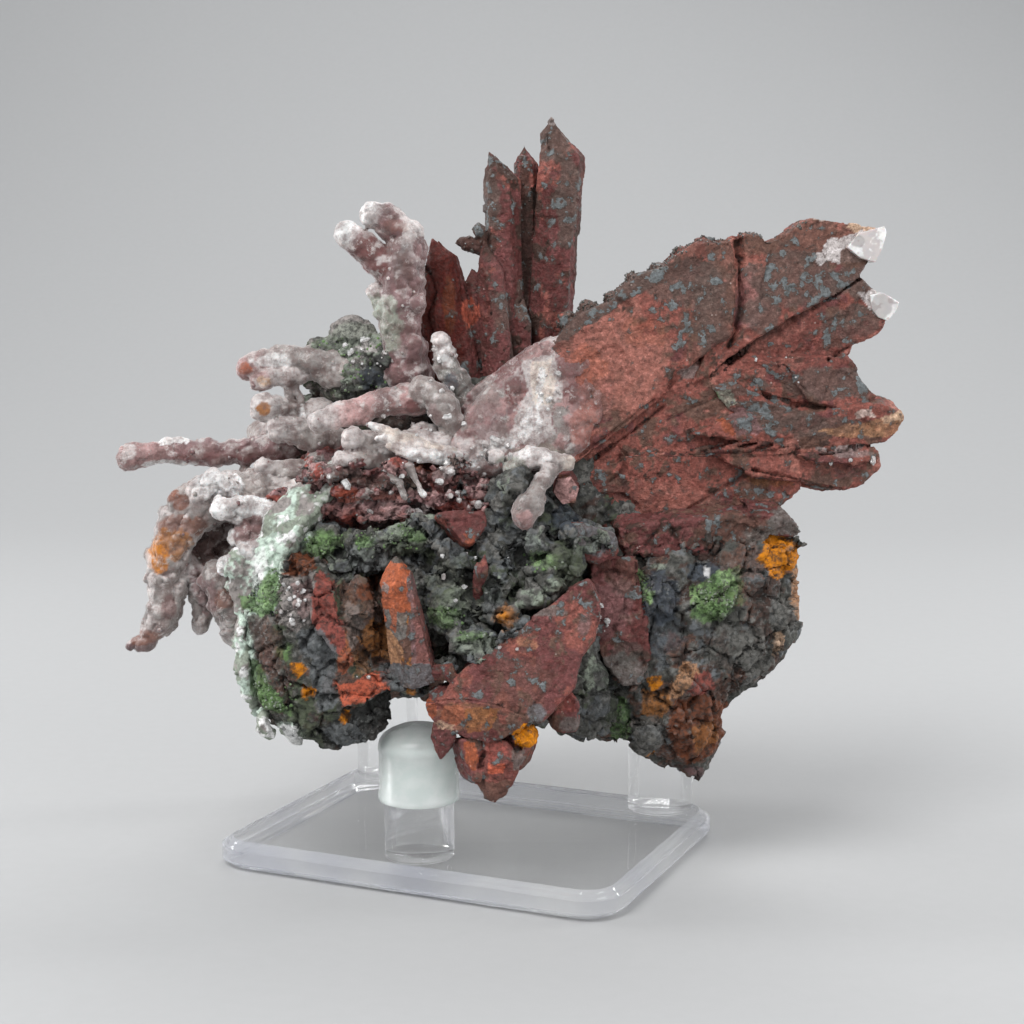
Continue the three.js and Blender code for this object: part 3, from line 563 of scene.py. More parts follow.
FAN_BLADES = [
    (-7.7, 10, 4, -3, 0.3, [(40, 90), (43, 101), (43.6, 108), (44.8, 110), (48.1, 110.9), (50.2, 110.6),
     (51, 109.4), (54.3, 110.8), (56.3, 112.2), (58.6, 113.6), (62.9, 113.1), (69.8, 111.7), (70.2, 109.8),
     (68.7, 105.9), (67, 103.4), (62.5, 99.8), (55.2, 95.6), (49, 91.9), (45, 89.2), (42.9, 87), (38, 85)]),
    (-6.3, 9, 3, 4, 0.3, [(43.4, 88), (47.4, 93), (55.4, 98), (62.7, 101.6), (67, 103.8), (69.5, 100.9),
     (71.1, 100.2), (72.8, 99), (72.2, 97.2), (71.3, 94.3), (69.7, 92.7), (66.1, 91), (64, 87.6), (55, 86),
     (45, 85)]),
    (-8.2, 8, 2, 6, 0.3, [(40, 80), (43.6, 87.2), (47, 89.2), (52.3, 89.6), (58, 90), (64.6, 90),
     (66.2, 88.6), (66.9, 87.3), (68.4, 84.5), (69.6, 82.9), (68, 79), (56, 78), (46, 77)]),
    (-9.2, 5, -8, 16, 0.2, [(43.6, 87.4), (47.8, 90), (53.6, 88.8), (58.5, 84.5), (57.4, 81.6),
     (49.7, 83.5)]),
    (-9.3, 5, 10, -8, 0.2, [(53.6, 88.8), (62.2, 89.4), (66, 87.6), (70.4, 82.9), (64.4, 80.8), (58, 82.4)]),
    (-9.8, 5, -4, 20, 0.2, [(41.6, 84.6), (46.4, 85), (50.6, 82.4), (55.4, 80.8), (52, 78.6), (44.6, 80.4)]),
    (-10.2, 6, 4, 12, 0.3, [(38, 76.5), (46, 79.6), (52, 80.2), (60, 80.4), (66, 81.6), (70.7, 82),
     (74.2, 80.6), (74.7, 79.2), (73.9, 76.9), (72, 74.9), (69, 74.3), (62, 73.9), (49.7, 73), (40, 73)]),
    (-8.9, 8, 5, -9, 0.4, [(40, 74), (57.1, 75.6), (67.6, 76), (70, 74.6), (71, 72.4), (71.3, 70.7),
     (69.7, 69.5), (67.6, 67.8), (64.7, 66.8), (62.2, 67.2), (58, 68.2), (49, 69)]),
    (-9.9, 3, 12, -16, 0.2, [(56, 73.4), (63, 74), (69.6, 74.6), (71, 72.4), (66, 71.4), (60, 71.8)]),
]
EDGE_LUMPS = [
    ((17.2, -4, 95.6), (2.6, 3, 2)), ((20.6, -4, 98), (2, 3, 1.5)), ((24.6, -4, 99.8), (1.7, 3, 1.4)),
    ((28, -5, 103.2), (1.6, 3, 1.4)), ((32.6, -5, 105), (1.8, 3, 1)), ((36.4, -5, 107.6), (1.6, 3, 1.1)),
    ((40.4, -5, 109.4), (2, 3, 0.9))]

fan = begin("crystal_fan")
for shape in FAN:
    slab(*shape)
balls(1, EDGE_LUMPS)
one_skin(fan, 0.3)
scribe(fan, [
    ([(24.8, 59.2), (30, 60.2), (35.5, 61.9), (38.9, 64), (48, 69.4)], 0.45, 0.6),
    ([(25.5, 59.4), (25.3, 55)], 0.5, 1), ([(20.3, 53.6), (24.9, 55.1), (30, 53.6), (36, 52.3)], 0.5, 1),
    ([(26, 72.8), (26.8, 70.4), (24.3, 68.2)], 0.5, 0.6), ([(33.4, 81.2), (27, 76.2), (20, 71.2)], 0.45, 1),
    ([(31.6, 82.2), (26, 78), (19, 72.8)], 0.4, 0.7), ([(34, 79), (40, 81.6), (46, 84.4)], 0.35, 0.4),
])
FAN_SPOTS = [("clay", 7, 0.4), ("wine", 6, 0.22), ("brown", 3, 0.2), ("umber", 1.6, 0.02)]
FAN_WEATHER = dict(facets=[(8, 0.4), (2.6, 0.2)], streaks=((1, 0, 0.62), 1.4, 0.1), skin=0.35, grain=0.25)
weather(fan, **FAN_WEATHER)
tint(fan, "brick", FAN_SPOTS, [
    ("clay", (24, -9, 88), (12, 5, 9), 0.7), ("orange", (30, -9, 94), (5, 5, 3), 0.2),
    ("clay", (33, -9, 64), (9, 6, 5), 0.5), ("brown", (40, -9, 95), (4, 5, 9), 0.45),
    ("orange", (20.6, -9, 88.6), (3.6, 5, 3.6), 0.3), ("crust", (36, -9, 102.6), (9, 6, 4), 0.8),
    ("crust", (42, -9, 98), (4, 6, 9), 0.8), ("crust", (20, -9, 81), (5, 6, 4), 0.5),
    ("smoke", (38.4, -9, 87.2), (3, 4, 1.2), 0.6), ("amber", (52, -9, 69), (5, 6, 2), 0.35),
    ("brown", (48, -9, 62), (10, 9, 3.6), 0.7), ("maroon", (24, -9, 63), (8, 6, 7), 0.5),
], [
    ("umber", 0.5, [(13, 91), (16, 97), (22, 100.6), (27, 104), (33, 106.6), (38, 110.4), (45.6, 110.6),
     (45, 107.4), (40, 106.4), (35, 103), (29, 100.6), (25, 97.6), (20, 95.4), (16.6, 91.6)]),
    ("crust", 0.9, [(14, 92), (16, 97.4), (22, 100.6), (27.6, 104.6), (33, 106), (33, 103), (27, 99.4),
     (22, 96), (17, 93)]),
    ("brown", 0.6, [(40, 110), (45.4, 110), (45.6, 98), (44.6, 93.4), (43.4, 96), (43.8, 103), (41, 106)]),
])

# %% Fan blades
fan_blades = begin("fan_blades")
for shape in FAN_BLADES:
    slab(*shape)
ball((48.2, -5, 110.2), (2.6, 3, 1.1), level=1)
one_skin(fan_blades, 0.28)
scribe(fan_blades, [
    ([(46, 109.6), (46.4, 104), (46.5, 98), (45.9, 94.3), (44.6, 91.6)], 0.9, 1.8),
    ([(67, 102.9), (62.6, 99.9), (55.2, 95.8), (49, 92), (45, 89.2), (42.6, 86.7)], 0.6, 1.6),
    ([(71.4, 93.3), (65.3, 91.1), (61.8, 89.5)], 0.5, 1),
    ([(43.3, 86.7), (49.9, 83.8), (53.6, 81.6)], 0.4, 0.8), ([(53.1, 89.3), (57.8, 83.8)], 0.4, 0.5),
    ([(60.4, 73.5), (67.7, 74.2), (71, 74.4)], 0.4, 0.8),
    ([(48.9, 70.5), (54.7, 69.1), (60.2, 67.3), (64.3, 66.8)], 0.45, 0.8),
])
weather(fan_blades, **FAN_WEATHER)
tint(fan_blades, "brick", FAN_SPOTS, [
    ("clay", (52, -8, 103), (6, 5, 5), 0.5), ("mauve", (48, -8, 99), (3, 5, 6), 0.5),
    ("brown", (49, -6, 109), (4, 8, 2.4), 0.8), ("brown", (58, -8, 110), (12, 6, 4), 0.75),
    ("crust", (56, -8, 103), (9, 6, 5), 0.8), ("crust", (50, -8, 97), (4, 6, 4), 0.8),
    ("crust", (67, -8, 103), (6, 6, 4), 0.9), ("crust", (66, -8, 96), (6, 5, 3.4), 0.8),
    ("maroon", (60, -8, 90), (12, 6, 7), 0.4), ("crust", (62, -8, 85), (10, 6, 3), 0.8),
    ("crust", (50, -9, 79.6), (8, 6, 3), 0.9), ("crust", (60, -11, 78), (10, 6, 2), 0.8),
    ("crust", (46, -9, 85), (5, 6, 2), 0.8), ("smoke", (66, -9, 73.2), (4, 6, 0.8), 0.5),
    ("umber", (64, -8, 69.6), (6, 6, 2), 0.5),
], [
    ("cream", 0.5, [(58, 114), (63.4, 113.9), (66, 113), (64, 112.6), (59, 113.2)]),
    ("sand", 0.8, [(65, 113), (70.4, 112.2), (70.4, 110.8), (67, 110.6), (64.4, 111.8)]),
    ("pearl", 0.95, [(58.6, 106.8), (60.4, 107.6), (61.6, 109.6), (64.6, 110.2), (67, 111.4), (71, 111.6),
     (70, 106), (65.6, 106), (63.6, 105.4), (61.4, 106.4), (60, 105.6)]),
    ("brown", 0.9, [(63.4, 107.8), (65.4, 108.6), (67, 107.8), (69, 108), (68, 105), (64, 105)]),
    ("pearl", 0.9, [(67, 101), (73.4, 101), (74, 96), (69.6, 96.6), (68.6, 98.6)]),
    ("tan", 0.6, [(60, 77), (69.8, 79.2), (75, 80.6), (74.8, 78.1), (72.4, 76.2), (64, 76)]),
    ("pearl", 0.55, [(59, 73.9), (62, 74.1), (66, 74.5), (68.4, 75), (67.6, 74), (62.6, 73.6)]),
    ("brown", 0.5, [(62, 78), (65, 78.6), (66.6, 77.4), (63.4, 76.6)]),
    ("sand", 0.8, [(70.4, 79.8), (74.6, 80.8), (74.4, 79), (71.2, 78.4)]),
    ("cream", 0.5, [(66, 80.4), (69, 81), (69.4, 79.8), (66.6, 79.4)]),
    ("sage", 0.7, [(39, 84.6), (44.6, 84.2), (46, 81.6), (42, 80.2), (39, 81.4)]),
    ("leaf", 0.6, [(40.4, 84), (42.4, 84.2), (43, 82.8), (41, 82.2)]),
    ("orange", 0.7, [(42.2, 80.8), (43.2, 80.3), (45.6, 77.2), (44.8, 76.4), (43, 78.4)]),
    ("mauve", 0.7, [(44.4, 80.8), (48, 81), (50.4, 77.6), (49.4, 76.3), (45.4, 77)]),
])

# %% [markdown]
# Two of the fan's ends have lost their red skin, and the quartz under it shows: white, smooth and flat. They
# are small sharp slabs of their own, so that no roughness of the fan reaches them.

# %% Bare quartz ends
bare_ends = begin("bare_quartz_ends")
slab(-7.4, 3, 4, -3, 0.12, [
    (64.6, 108.4), (66.4, 110.7), (71, 112), (71.4, 110.9), (70.6, 108), (69.4, 105.8), (66.8, 106.6)])
slab(-6.6, 3, 3, 4, 0.12, [
    (68.8, 100.3), (71.2, 100.6), (74, 99), (73.4, 97.4), (72.1, 95.8), (70.4, 96.4), (69.2, 97.8)])
one_skin(bare_ends, 0.14, smooth=0)
tint(bare_ends, "pearl", [("white", 2, 0.4)], [("smoke", (66.4, -8, 109.4), (1.4, 3, 1), 0.7),
                                                      ("smoke", (71, -8, 98), (2.4, 3, 3), 0.6)])

# %% [markdown]
# ## Chalcedony fingers
# The left side is overgrown with pale, waxy chalcedony that coated thin crystals and hid their edges.
# Each finger is a chain of balls along a smooth path. Its colour follows it too: a darker body shows
# through the skin, and the tip, where the skin is thick, is pale.

# %% Finger paths
# colour of the body, colour of the tip, and the path with its radius at each point
FINGERS = [
    ("mauve", "pearl", [(-9.5, -1, 80, 4.4), (-11, -3, 88, 4.3), (-12, -4, 96, 4), (-11.6, -4, 104, 3.8),
     (-10.9, -4, 110.4, 3)]),
    ("mauve", "white", [(-10, -4, 108, 3), (-13, -4, 112.2, 2.9), (-16.2, -4, 113.9, 2.4)]),
    ("wine", "white", [(-13, -4, 103.4, 2.8), (-17, -4.6, 107.6, 2.6), (-20.7, -5, 110.6, 2.1)]),
    ("sage", "pearl", [(-14, -4, 98, 2.8), (-16.2, -4, 101, 1.7)]),
    ("smoke", "blush", [(-22, -3, 87, 3.6), (-28, -3, 88.8, 2.8), (-33, -4, 89.2, 2.3),
     (-38.4, -5, 87.9, 2.2)]),
    ("pearl", "blush", [(-29, -3, 87, 2.2), (-36.2, -6.4, 85.8, 1.8)]),
    ("smoke", "pearl", [(-26, -3, 79.6, 2.6), (-31, -5, 80, 2), (-35.2, -8, 80.7, 2.3)]),
    ("smoke", "pearl", [(-16, -5, 72.8, 3), (-22, -6, 74.6, 2.6), (-28, -7, 76.2, 2.6),
     (-32.6, -8, 77.4, 2.4)]),
    ("mauve", "blush", [(-18, 3, 74, 3), (-30, 1, 73, 2.5), (-40, 0, 72.6, 2.4), (-48, -1, 72.4, 2.3),
     (-54, -2, 72.6, 2), (-59.6, -2, 71.9, 2.4)]),
    ("mauve", "smoke", [(-26, 0, 68, 3.6), (-34, -1, 67.4, 2.6), (-40, -1, 68.6, 1.4)]),
    ("smoke", "pearl", [(-20, -7, 70.4, 2.3), (-28, -9, 70, 2), (-35.4, -10, 70.4, 1.8)]),
    ("blush", "pearl", [(-8, -10, 83, 3), (-14, -12, 82.6, 2.5), (-19, -13, 80.8, 2.3),
     (-25.6, -14, 79.2, 2.1)]),
    ("smoke", "smoke", [(-8, -12, 84.4, 2.6), (-4.2, -13.4, 82, 2.7), (-2.6, -13, 78, 2.2)]),
    ("pearl", "cream", [(-2, -13, 74.2, 2.4), (-7, -15, 75.6, 2), (-11, -15.6, 76.4, 1.4)]),
    ("cream", "white", [(-5, -15.4, 74.4, 1.2), (-11, -17.4, 76.8, 1), (-16.2, -18, 78.8, 0.6)]),
    ("cream", "white", [(-3, -16, 73.8, 1.3), (-9, -18, 75.4, 1.1), (-15, -18.8, 76.8, 0.6)]),
    ("white", "cream", [(-1, -16, 72.8, 1.3), (-7, -18.4, 73.8, 1.1), (-13, -19.4, 75.2, 0.6)]),
    ("smoke", "pearl", [(-12, -12, 73.6, 2.2), (-19.6, -16, 76.2, 1.9)]),
    ("pearl", "smoke", [(-8, -11, 76, 3), (-2, -12, 73, 2.6), (3, -14, 72.4, 2)]),
    ("smoke", "pearl", [(-13, -14, 72.8, 2), (-21, -17, 72.8, 1.8)]),
    ("ash", "pearl", [(-0.6, -8, 82, 2.8), (-3.2, -9, 87, 2.3), (-4.8, -9, 92.4, 1.8)]),
    ("smoke", "blush", [(15, -20, 72.6, 1.5), (12.9, -23.4, 71, 1.6), (11.2, -25, 68, 1.7),
     (9.8, -26, 65.4, 2.3), (9.4, -26.2, 64, 2)]),
    ("pearl", "cream", [(7.4, -18, 72.4, 1.6), (9.8, -21, 73.4, 1.9), (13, -21.4, 73.6, 1.7),
     (16.2, -20, 72.6, 1.5)]),
    ("mauve", "smoke", [(-20, 8, 66, 4.4), (-32, 16, 70, 3.2), (-40, 20, 74, 2.4)]),
    ("mauve", "smoke", [(-24, 8, 56, 4.6), (-36, 17, 57, 3.2), (-43, 21, 60, 2.2)]),
    ("white", "white", [(-53.8, -2.2, 74, 1.1), (-50.4, -1.6, 74, 1.2)]),
    ("white", "white", [(-33, -4, 86, 0.9), (-31.4, -5, 83, 0.7), (-31.8, -6, 80, 0.8)]),
    ("white", "white", [(-31, -3.6, 86, 0.8), (-29.6, -5, 82.6, 0.6), (-29, -6, 79, 0.8)]),
    ("smoke", "white", [(-10, -18.6, 72, 0.7), (-8.4, -20.4, 69.4, 0.55), (-7.4, -21, 67.4, 0.5)]),
    ("smoke", "smoke", [(-13, -18.6, 72, 0.8), (-11.6, -20, 69.4, 0.6), (-10.4, -20.6, 67, 0.4)]),
]

# %% Colour a piece by the fingers that it is made of
def finger_colours(piece, shapes, frost=0.3):
    points, normals = points_of(piece), normals_of(piece)
    nearest = np.full(len(points), np.inf)
    colour = np.zeros((len(points), 4))
    for body, tip, path in shapes:
        path = np.array(path, float)
        body, tip = shade_of(body), shade_of(tip)
        for share in np.linspace(0, 1, 5 * len(path)):
            *middle, radius = along(path, share)
            close = np.flatnonzero(np.abs(points - middle).max(axis=1) < 2.5 * radius)
            distance = np.linalg.norm(points[close] - middle, axis=1) / radius
            nearer = close[distance < nearest[close]]
            nearest[nearer] = distance[distance < nearest[close]]
            paler = step(0.7, 1, share)
            colour[nearer] = body * (1 - paler) + tip * paler
    shade = 0.9 + 0.5 * noise_at(points, 3.4, 4) + 0.3 * noise_at(points, 1.2, 5)
    colour *= np.clip(shade, 0.35, 1.7)[:, None]
    # The pale cover follows noise and lies more on faces that look up, so the fingers are paler on top.
    paleness = noise_at(points, 3, 6) + 0.7 * noise_at(points, 1.1, 7) + 0.5 * normals[:, 2] - 0.1
    cover = 0.75 * step(0.6 - frost, 0.85 - frost, paleness)[:, None]
    return colour * (1 - cover) + shade_of("pearl") * cover


# %% Fingers
fingers = begin("chalcedony_fingers")
for body, tip, path in FINGERS:
    finger(path)
balls(3, [
    ((-9.4, -7, 92), (1.5, 1.2, 1.7)), ((-8.8, -7.2, 99), (1.3, 1.1, 1.5)),
    ((7, -21, 71.8), (1.5, 1.4, 1.3)), ((4.6, -20, 73.8), (1.4, 1.4, 1.2))])
one_skin(fingers, 0.33, smooth=4)
weather(fingers, [(4, 0.3)], swells=1, skin=0.45, grain=0.1)
grow(fingers, [((-30, 0, 80), (60, 50, 60))], 1.5, 0.3)
grow(fingers, [((-10, -8, 97), (3, 5, 9)), ((-4, -11, 88), (3, 5, 5)), ((8, -22, 73.6), (6, 5, 2))], 1.4, 0.3)
tint(fingers, finger_colours(fingers, FINGERS), patches=[
    ("mauve", (-10, -8, 97), (2.6, 5, 9), 0.5), ("sage", (-14, -8, 95), (2.6, 5, 5), 0.75),
    ("wine", (-13.4, -8, 109), (2, 5, 2.6), 0.6), ("rust", (-12.6, -8, 112), (2.4, 4, 1.4), 0.4),
    ("white", (-52.4, -3, 70.6), (5, 5, 0.9), 0.95), ("white", (-8, -9, 113.4), (3.4, 5, 1), 0.6),
    ("wine", (-44, -3, 71.8), (9, 4, 1.4), 0.6), ("orange", (-38.8, -8, 87.6), (1.4, 2.6, 1.3), 0.95),
    ("sand", (-35.4, -8.6, 85.6), (1.5, 2.6, 1), 0.9), ("white", (-34, -7, 89), (4, 4, 1.4), 0.7),
    ("amber", (-35.2, -10.6, 80.8), (1.4, 2, 1.4), 0.95), ("umber", (-30.4, -3, 83.4), (2.4, 4, 2.6), 0.85),
    ("wine", (-9.4, -14, 81.6), (1.5, 4, 1.5), 0.95), ("mauve", (-6, -16, 80), (1.5, 4, 3), 0.5),
    ("white", (-4, -12, 90), (2.2, 5, 2), 0.6), ("ink", (-3, -10, 85.6), (1.5, 5, 2), 0.7),
    ("umber", (-11.4, -8, 104), (1.5, 5, 4), 0.4), ("mauve", (-28, -4, 74), (9, 6, 2), 0.5),
    ("sage", (7, -22, 72.6), (3, 4, 1.6), 0.7), ("white", (11, -24, 74.6), (4, 4, 1), 0.7),
    ("blush", (9.4, -28, 64.6), (1.4, 2, 1.4), 0.9), ("smoke", (11.6, -27, 68), (1.6, 3, 2), 0.5),
])

# %% [markdown]
# The grey-green mass behind the fingers is the same growth gone mossy: balls of every size in one heap.

# %% Grey-green mass
grey_green = begin("grey_green_mass")
HEAP_MIDDLE, HEAP_REACH = Vector((-19.6, -1.4, 86.6)), Vector((8, 4.6, 7))
ball(HEAP_MIDDLE, HEAP_REACH, level=4)
ball((-25.6, -2.4, 90.2), (3.2, 3, 3), level=3)
ball((-20.6, -1, 93.4), (4.2, 3.6, 3.4), level=3)
for i in range(60):
    way = Vector(rng.normal(0, 1, 3)).normalized()
    size = rng.uniform(1.1, 2.8)
    place = HEAP_MIDDLE + Vector([w * r * rng.uniform(0.7, 1.1) for w, r in zip(way, HEAP_REACH)])
    boulder(place, (size, size, size))
ball((-17.4, -3, 79.6), (5.4, 3, 4), level=3)
ball((-27, 2, 76), (7, 5, 7), level=3)
one_skin(grey_green, 0.34, smooth=2)
weather(grey_green, [(3, 0.5, 0.3)], skin=0.5, grain=0.2)
tint(grey_green, "iron", [("olive", 3, 0.4), ("sage", 3, 0.18), ("smoke", 2, 0.1), ("ash", 1.4, 0.2)], [
    ("char", (-15, -6, 87), (3, 5, 4), 0.8), ("sage", (-24, -5, 88), (4, 5, 3), 0.5),
    ("smoke", (-21, -5, 95.4), (8, 6, 3), 0.8), ("sage", (-19, -5, 92.6), (7, 6, 3), 0.5),
    ("pearl", (-17.6, -6, 91.2), (2.4, 5, 1), 0.7), ("char", (-20, -6, 83.6), (3, 5, 1.6), 0.7),
    ("ink", (-17, -6, 85.6), (3, 5, 2), 0.6), ("umber", (-16, -6, 79.6), (6, 5, 2), 0.7),
    ("umber", (-27, -2, 76), (8, 6, 7), 0.8)])

# %% [markdown]
# ## The claw
# Low on the left, a hooked arm of chalcedony closes round a hollow. Its skin is grey-white, and where it
# is broken open an orange-brown lining shows.

# %% Claw
CLAW = [
    ("smoke", "mauve", [(-28, -8, 64, 5), (-36, -10, 66, 4.4), (-45, -12, 65, 4.4), (-49.8, -14, 60.6, 4),
     (-51.6, -14.6, 55, 3.7), (-51.4, -14.6, 50, 3.1), (-52.8, -14.6, 45.6, 2.8), (-55, -15, 42, 1.9),
     (-58, -15, 40.8, 1)]),
    ("mauve", "mauve", [(-49, -12, 54, 3), (-46, -11, 52.6, 3.2), (-40, -11, 51, 4)]),
    ("smoke", "pearl", [(-46.4, -12.6, 50, 2), (-46.2, -13, 46, 2), (-46.4, -13, 43.2, 1.6)]),
    ("smoke", "pearl", [(-42.6, -15, 52, 3), (-41, -16, 47, 3), (-39.4, -16, 42, 2)]),
    ("white", "white", [(-32, -16, 59, 3.4), (-37.6, -19.4, 56.6, 2.3), (-40.6, -20.4, 55.6, 1.8)]),
    ("white", "white", [(-33, -14, 63, 3.2), (-38, -17, 64.4, 2.4), (-41.4, -18, 64.8, 2)]),
    ("white", "pearl", [(-40, -14, 68, 2), (-43.6, -15.4, 68.8, 2.2), (-46, -16, 67, 1.8)]),
    ("wine", "rust", [(-47.6, -13, 63.4, 1.8), (-49.6, -14.4, 65.8, 1.6)]),
    ("smoke", "smoke", [(-36, -8, 60, 4), (-39, -9, 54, 4.4), (-38, -10, 49, 3.6)]),
    ("pearl", "white", [(-30, -12, 66, 3), (-36, -15, 61.4, 3), (-38.4, -17, 59.6, 2)]),
    ("umber", "mauve", [(-34, -6, 64, 4.4), (-42, -8, 60, 4), (-45, -9, 57, 3)]),
]
claw = begin("chalcedony_claw")
for body, tip, path in CLAW:
    finger(path)
one_skin(claw, 0.32, smooth=4)
weather(claw, [(4, 0.55, 0.2)], swells=1.2, skin=0.5, grain=0.12)
grow(claw, [((-40, -10, 54), (40, 40, 40))], 1.6, 0.3)
grow(claw, [((-49, -18, 61), (5, 6, 4)), ((-44, -14, 50), (5, 6, 7))], 1.6, 0.3)
tint(claw, finger_colours(claw, CLAW, frost=0.35), patches=[
    ("rust", (-48.6, -17, 61.4), (5, 5, 2.6), 0.75), ("amber", (-50, -18, 58.6), (3.6, 6, 3), 0.85),
    ("ochre", (-52.6, -18, 56.6), (2.2, 6, 2.8), 0.9), ("umber", (-44.4, -11, 56), (3.4, 4, 4), 0.85),
    ("mauve", (-44.6, -15, 50), (3, 5, 4.4), 0.7), ("rust", (-48.8, -16, 65.6), (1.7, 4, 1.7), 0.85),
    ("wine", (-51, -17, 48), (1.4, 4, 2.4), 0.6), ("rust", (-55, -17, 42.4), (3, 4, 1.5), 0.7),
    ("rust", (-41, -19, 49.6), (2, 4, 1.8), 0.7), ("wine", (-36.4, -16, 60.6), (3, 6, 3), 0.85),
    ("pearl", (-54.4, -17, 52), (1.2, 4, 5), 0.7),
])

# %% [markdown]
# ## The blunt quartz hump
# Between the fingers and the fan lies a broad crystal end under a thin, milky skin, half clear. It is a
# wide, softly bevelled slab with a chain of balls behind it, and it is far smoother than the fingers.

# %% Hump
hump = begin("milky_hump")
finger([(-2, -3, 72, 5), (3, -5, 77, 6.6), (8, -6, 81.6, 7), (12.4, -6.6, 85, 5.6)], knobs=0.04, spacing=0.35)
slab(-13.2, 9, 11, -8, 1.6, [
    (-6, 70), (-3, 76), (0, 81.6), (4, 86), (8, 89.6), (12, 92.6), (16.4, 94.4), (19, 93.6), (22, 90.4),
    (24.4, 85), (24, 79), (20, 74), (15, 71.4), (4, 69.6)])
finger([(-2, -9.6, 80, 1), (2, -10.4, 84.6, 0.9), (7.6, -10.8, 89, 0.8), (12, -10.4, 91.8, 0.7)], knobs=0.2)
balls(3, [
    ((21.4, -10.6, 82), (1.2, 0.9, 1.2)), ((15, -12.6, 76), (1, 0.8, 1)), ((-1, -12, 74), (2.4, 2, 2)),
    ((3, -13.4, 72.6), (2, 1.8, 1.6))])
one_skin(hump, 0.32, smooth=4)
weather(hump, [(3.4, 0.3)], swells=1.2, streaks=((-0.4, 0, 1), 2.2, 0.2), skin=0.4)
grow(hump, [((0, -13, 75), (8, 6, 4))], 1.3, 0.3)
tint(hump, "blush", [("mauve", 5, 0.4), ("smoke", 4, 0.35), ("wine", 3, 0.15), ("pearl", 1.6, 0.12)], [
    ("pearl", (14, -11, 93.6), (7, 6, 1.5), 0.8), ("smoke", (3, -13, 83), (3, 6, 4), 0.6),
    ("mauve", (8, -14, 87), (5, 6, 3), 0.5), ("wine", (18, -12, 88), (3, 6, 5), 0.7),
    ("brick", (22, -11, 82), (3.4, 8, 9), 0.85), ("clay", (20, -12, 78), (3, 7, 4), 0.7),
    ("mauve", (3, -14, 79), (4, 6, 4), 0.6), ("sage", (11, -14, 73.6), (6, 6, 2), 0.6),
    ("pearl", (1, -14, 73.6), (7, 6, 3), 0.7), ("white", (-1, -14, 72.4), (3, 5, 1.2), 0.8),
], [
    ("pearl", 0.85, [(9, 89), (14.4, 91), (15.4, 86), (13.4, 82), (14.6, 77), (11.6, 75), (7, 76), (8, 80),
     (10, 84)]),
    ("cream", 0.9, [(10.6, 89), (14, 90), (14.8, 85.6), (13.6, 81.6), (10.8, 82)]),
    ("white", 0.8, [(12, 88), (13, 88), (12.4, 84), (12, 80), (12.4, 77), (11.4, 77.6), (11.2, 81),
     (11.6, 84.6)]),
    ("white", 0.7, [(9.8, 81), (10.6, 81.6), (11, 77.4), (9.6, 75.6), (8.4, 76.4)]),
    ("white", 0.6, [(2, 74), (6, 76.4), (9, 75.8), (6, 74), (3, 72.6)]),
])

# %% [markdown]
# ## Matrix
# The dark stone that everything grew on is a set of broken masses. Each one is a ball pulled out to its
# outline, with smaller lumps on its face. Swells, facets, cracks and grain are then laid on in turn.

# %% Roughen
def roughen(piece, swells=1.3, facets=1):
    weather(piece, [(6, 1.3 * facets, 1.0), (2.6, 0.8 * facets, 0.2)], swells, skin=0.25, grain=0.3)


# %% Left lump
LEAFY_CORNER = [
    (-33.6, 54.8), (-31.4, 55.2), (-31.5, 50.1), (-33.4, 47.6), (-37.6, 48.4), (-38.4, 50.8), (-35, 50.6)]
left = begin("left_matrix")
mass(front=-28, back=-7, middle=(-26, 40), outline=[
    (-37.6, 50), (-37.6, 43), (-36.8, 36), (-35, 31), (-31, 26.4), (-26.7, 25.4), (-22.5, 23.8), (-19.5, 25),
    (-15, 27), (-13.4, 30.6), (-13, 35), (-14, 41), (-14.5, 48), (-17, 54), (-24, 57.5), (-31, 57.6),
    (-36, 55)])
mass(front=-25, back=-6, middle=(-9, 45), outline=[
    (-17, 35.4), (-11, 34.6), (-5, 36), (-2, 42), (-3, 52), (-9, 57), (-16, 54)])
boulders([
    ((-27.8, -24, 50.6), (3.8, 5.6, 4.8)), ((-24.4, -25.4, 43), (3.6, 3.6, 3)),
    ((-17.6, -21, 30.6), (4.4, 6, 4)), ((-20, -24, 28.4), (4, 4, 3)), ((-23.4, -25.4, 36.6), (2.6, 3.4, 4)),
    ((-30.6, -22, 35), (4.4, 6, 4)), ((-11, -26, 38), (4, 3.4, 2.2)), ((-33, -20, 46), (3, 6, 5)),
    ((-27, -23, 30), (4, 5, 3))])
slab(-30.2, 6, -14, -6, 0.3, [
    (-25.4, 55.4), (-21.9, 53.6), (-21, 48.5), (-18.8, 44.9), (-18.6, 41), (-20.4, 40.6), (-22.4, 43.4),
    (-25.6, 47.4), (-26, 52)])
slab(-28.4, 6, 6, 10, 0.4, [
    (-22, 37.4), (-19, 41.4), (-16.6, 39), (-13, 38.8), (-12.6, 36.2), (-15.8, 33.6), (-20.6, 33)])
crystal((-18, -21, 38), (-18, -26.6, 50), (-17.8, -25.6, 54.4), 8.4, 6, roll=14)
crystal((-28, -20, 52), (-28.4, -28.4, 55.4), (-28.6, -28.4, 59), 4.8, 4, roll=20)
crystal((-35, -18, 44), (-36, -24, 47.6), (-36.2, -24.6, 49), 2.8, 2.6, roll=20)
one_skin(left, 0.32)
roughen(left, swells=1, facets=0.6)
grow(left, [
    ((-28, -28, 39.6), (1.8, 4, 1.6)), ((-26.3, -28, 35.5), (1.6, 4, 1.6)), ((-32.6, -25, 35.4), (3, 7, 4)),
    ((-32.6, -25, 51.4), (2, 6, 3.6)), ((-27.8, -28, 50.6), (3, 5, 4.4))], 1.3, 0.6)
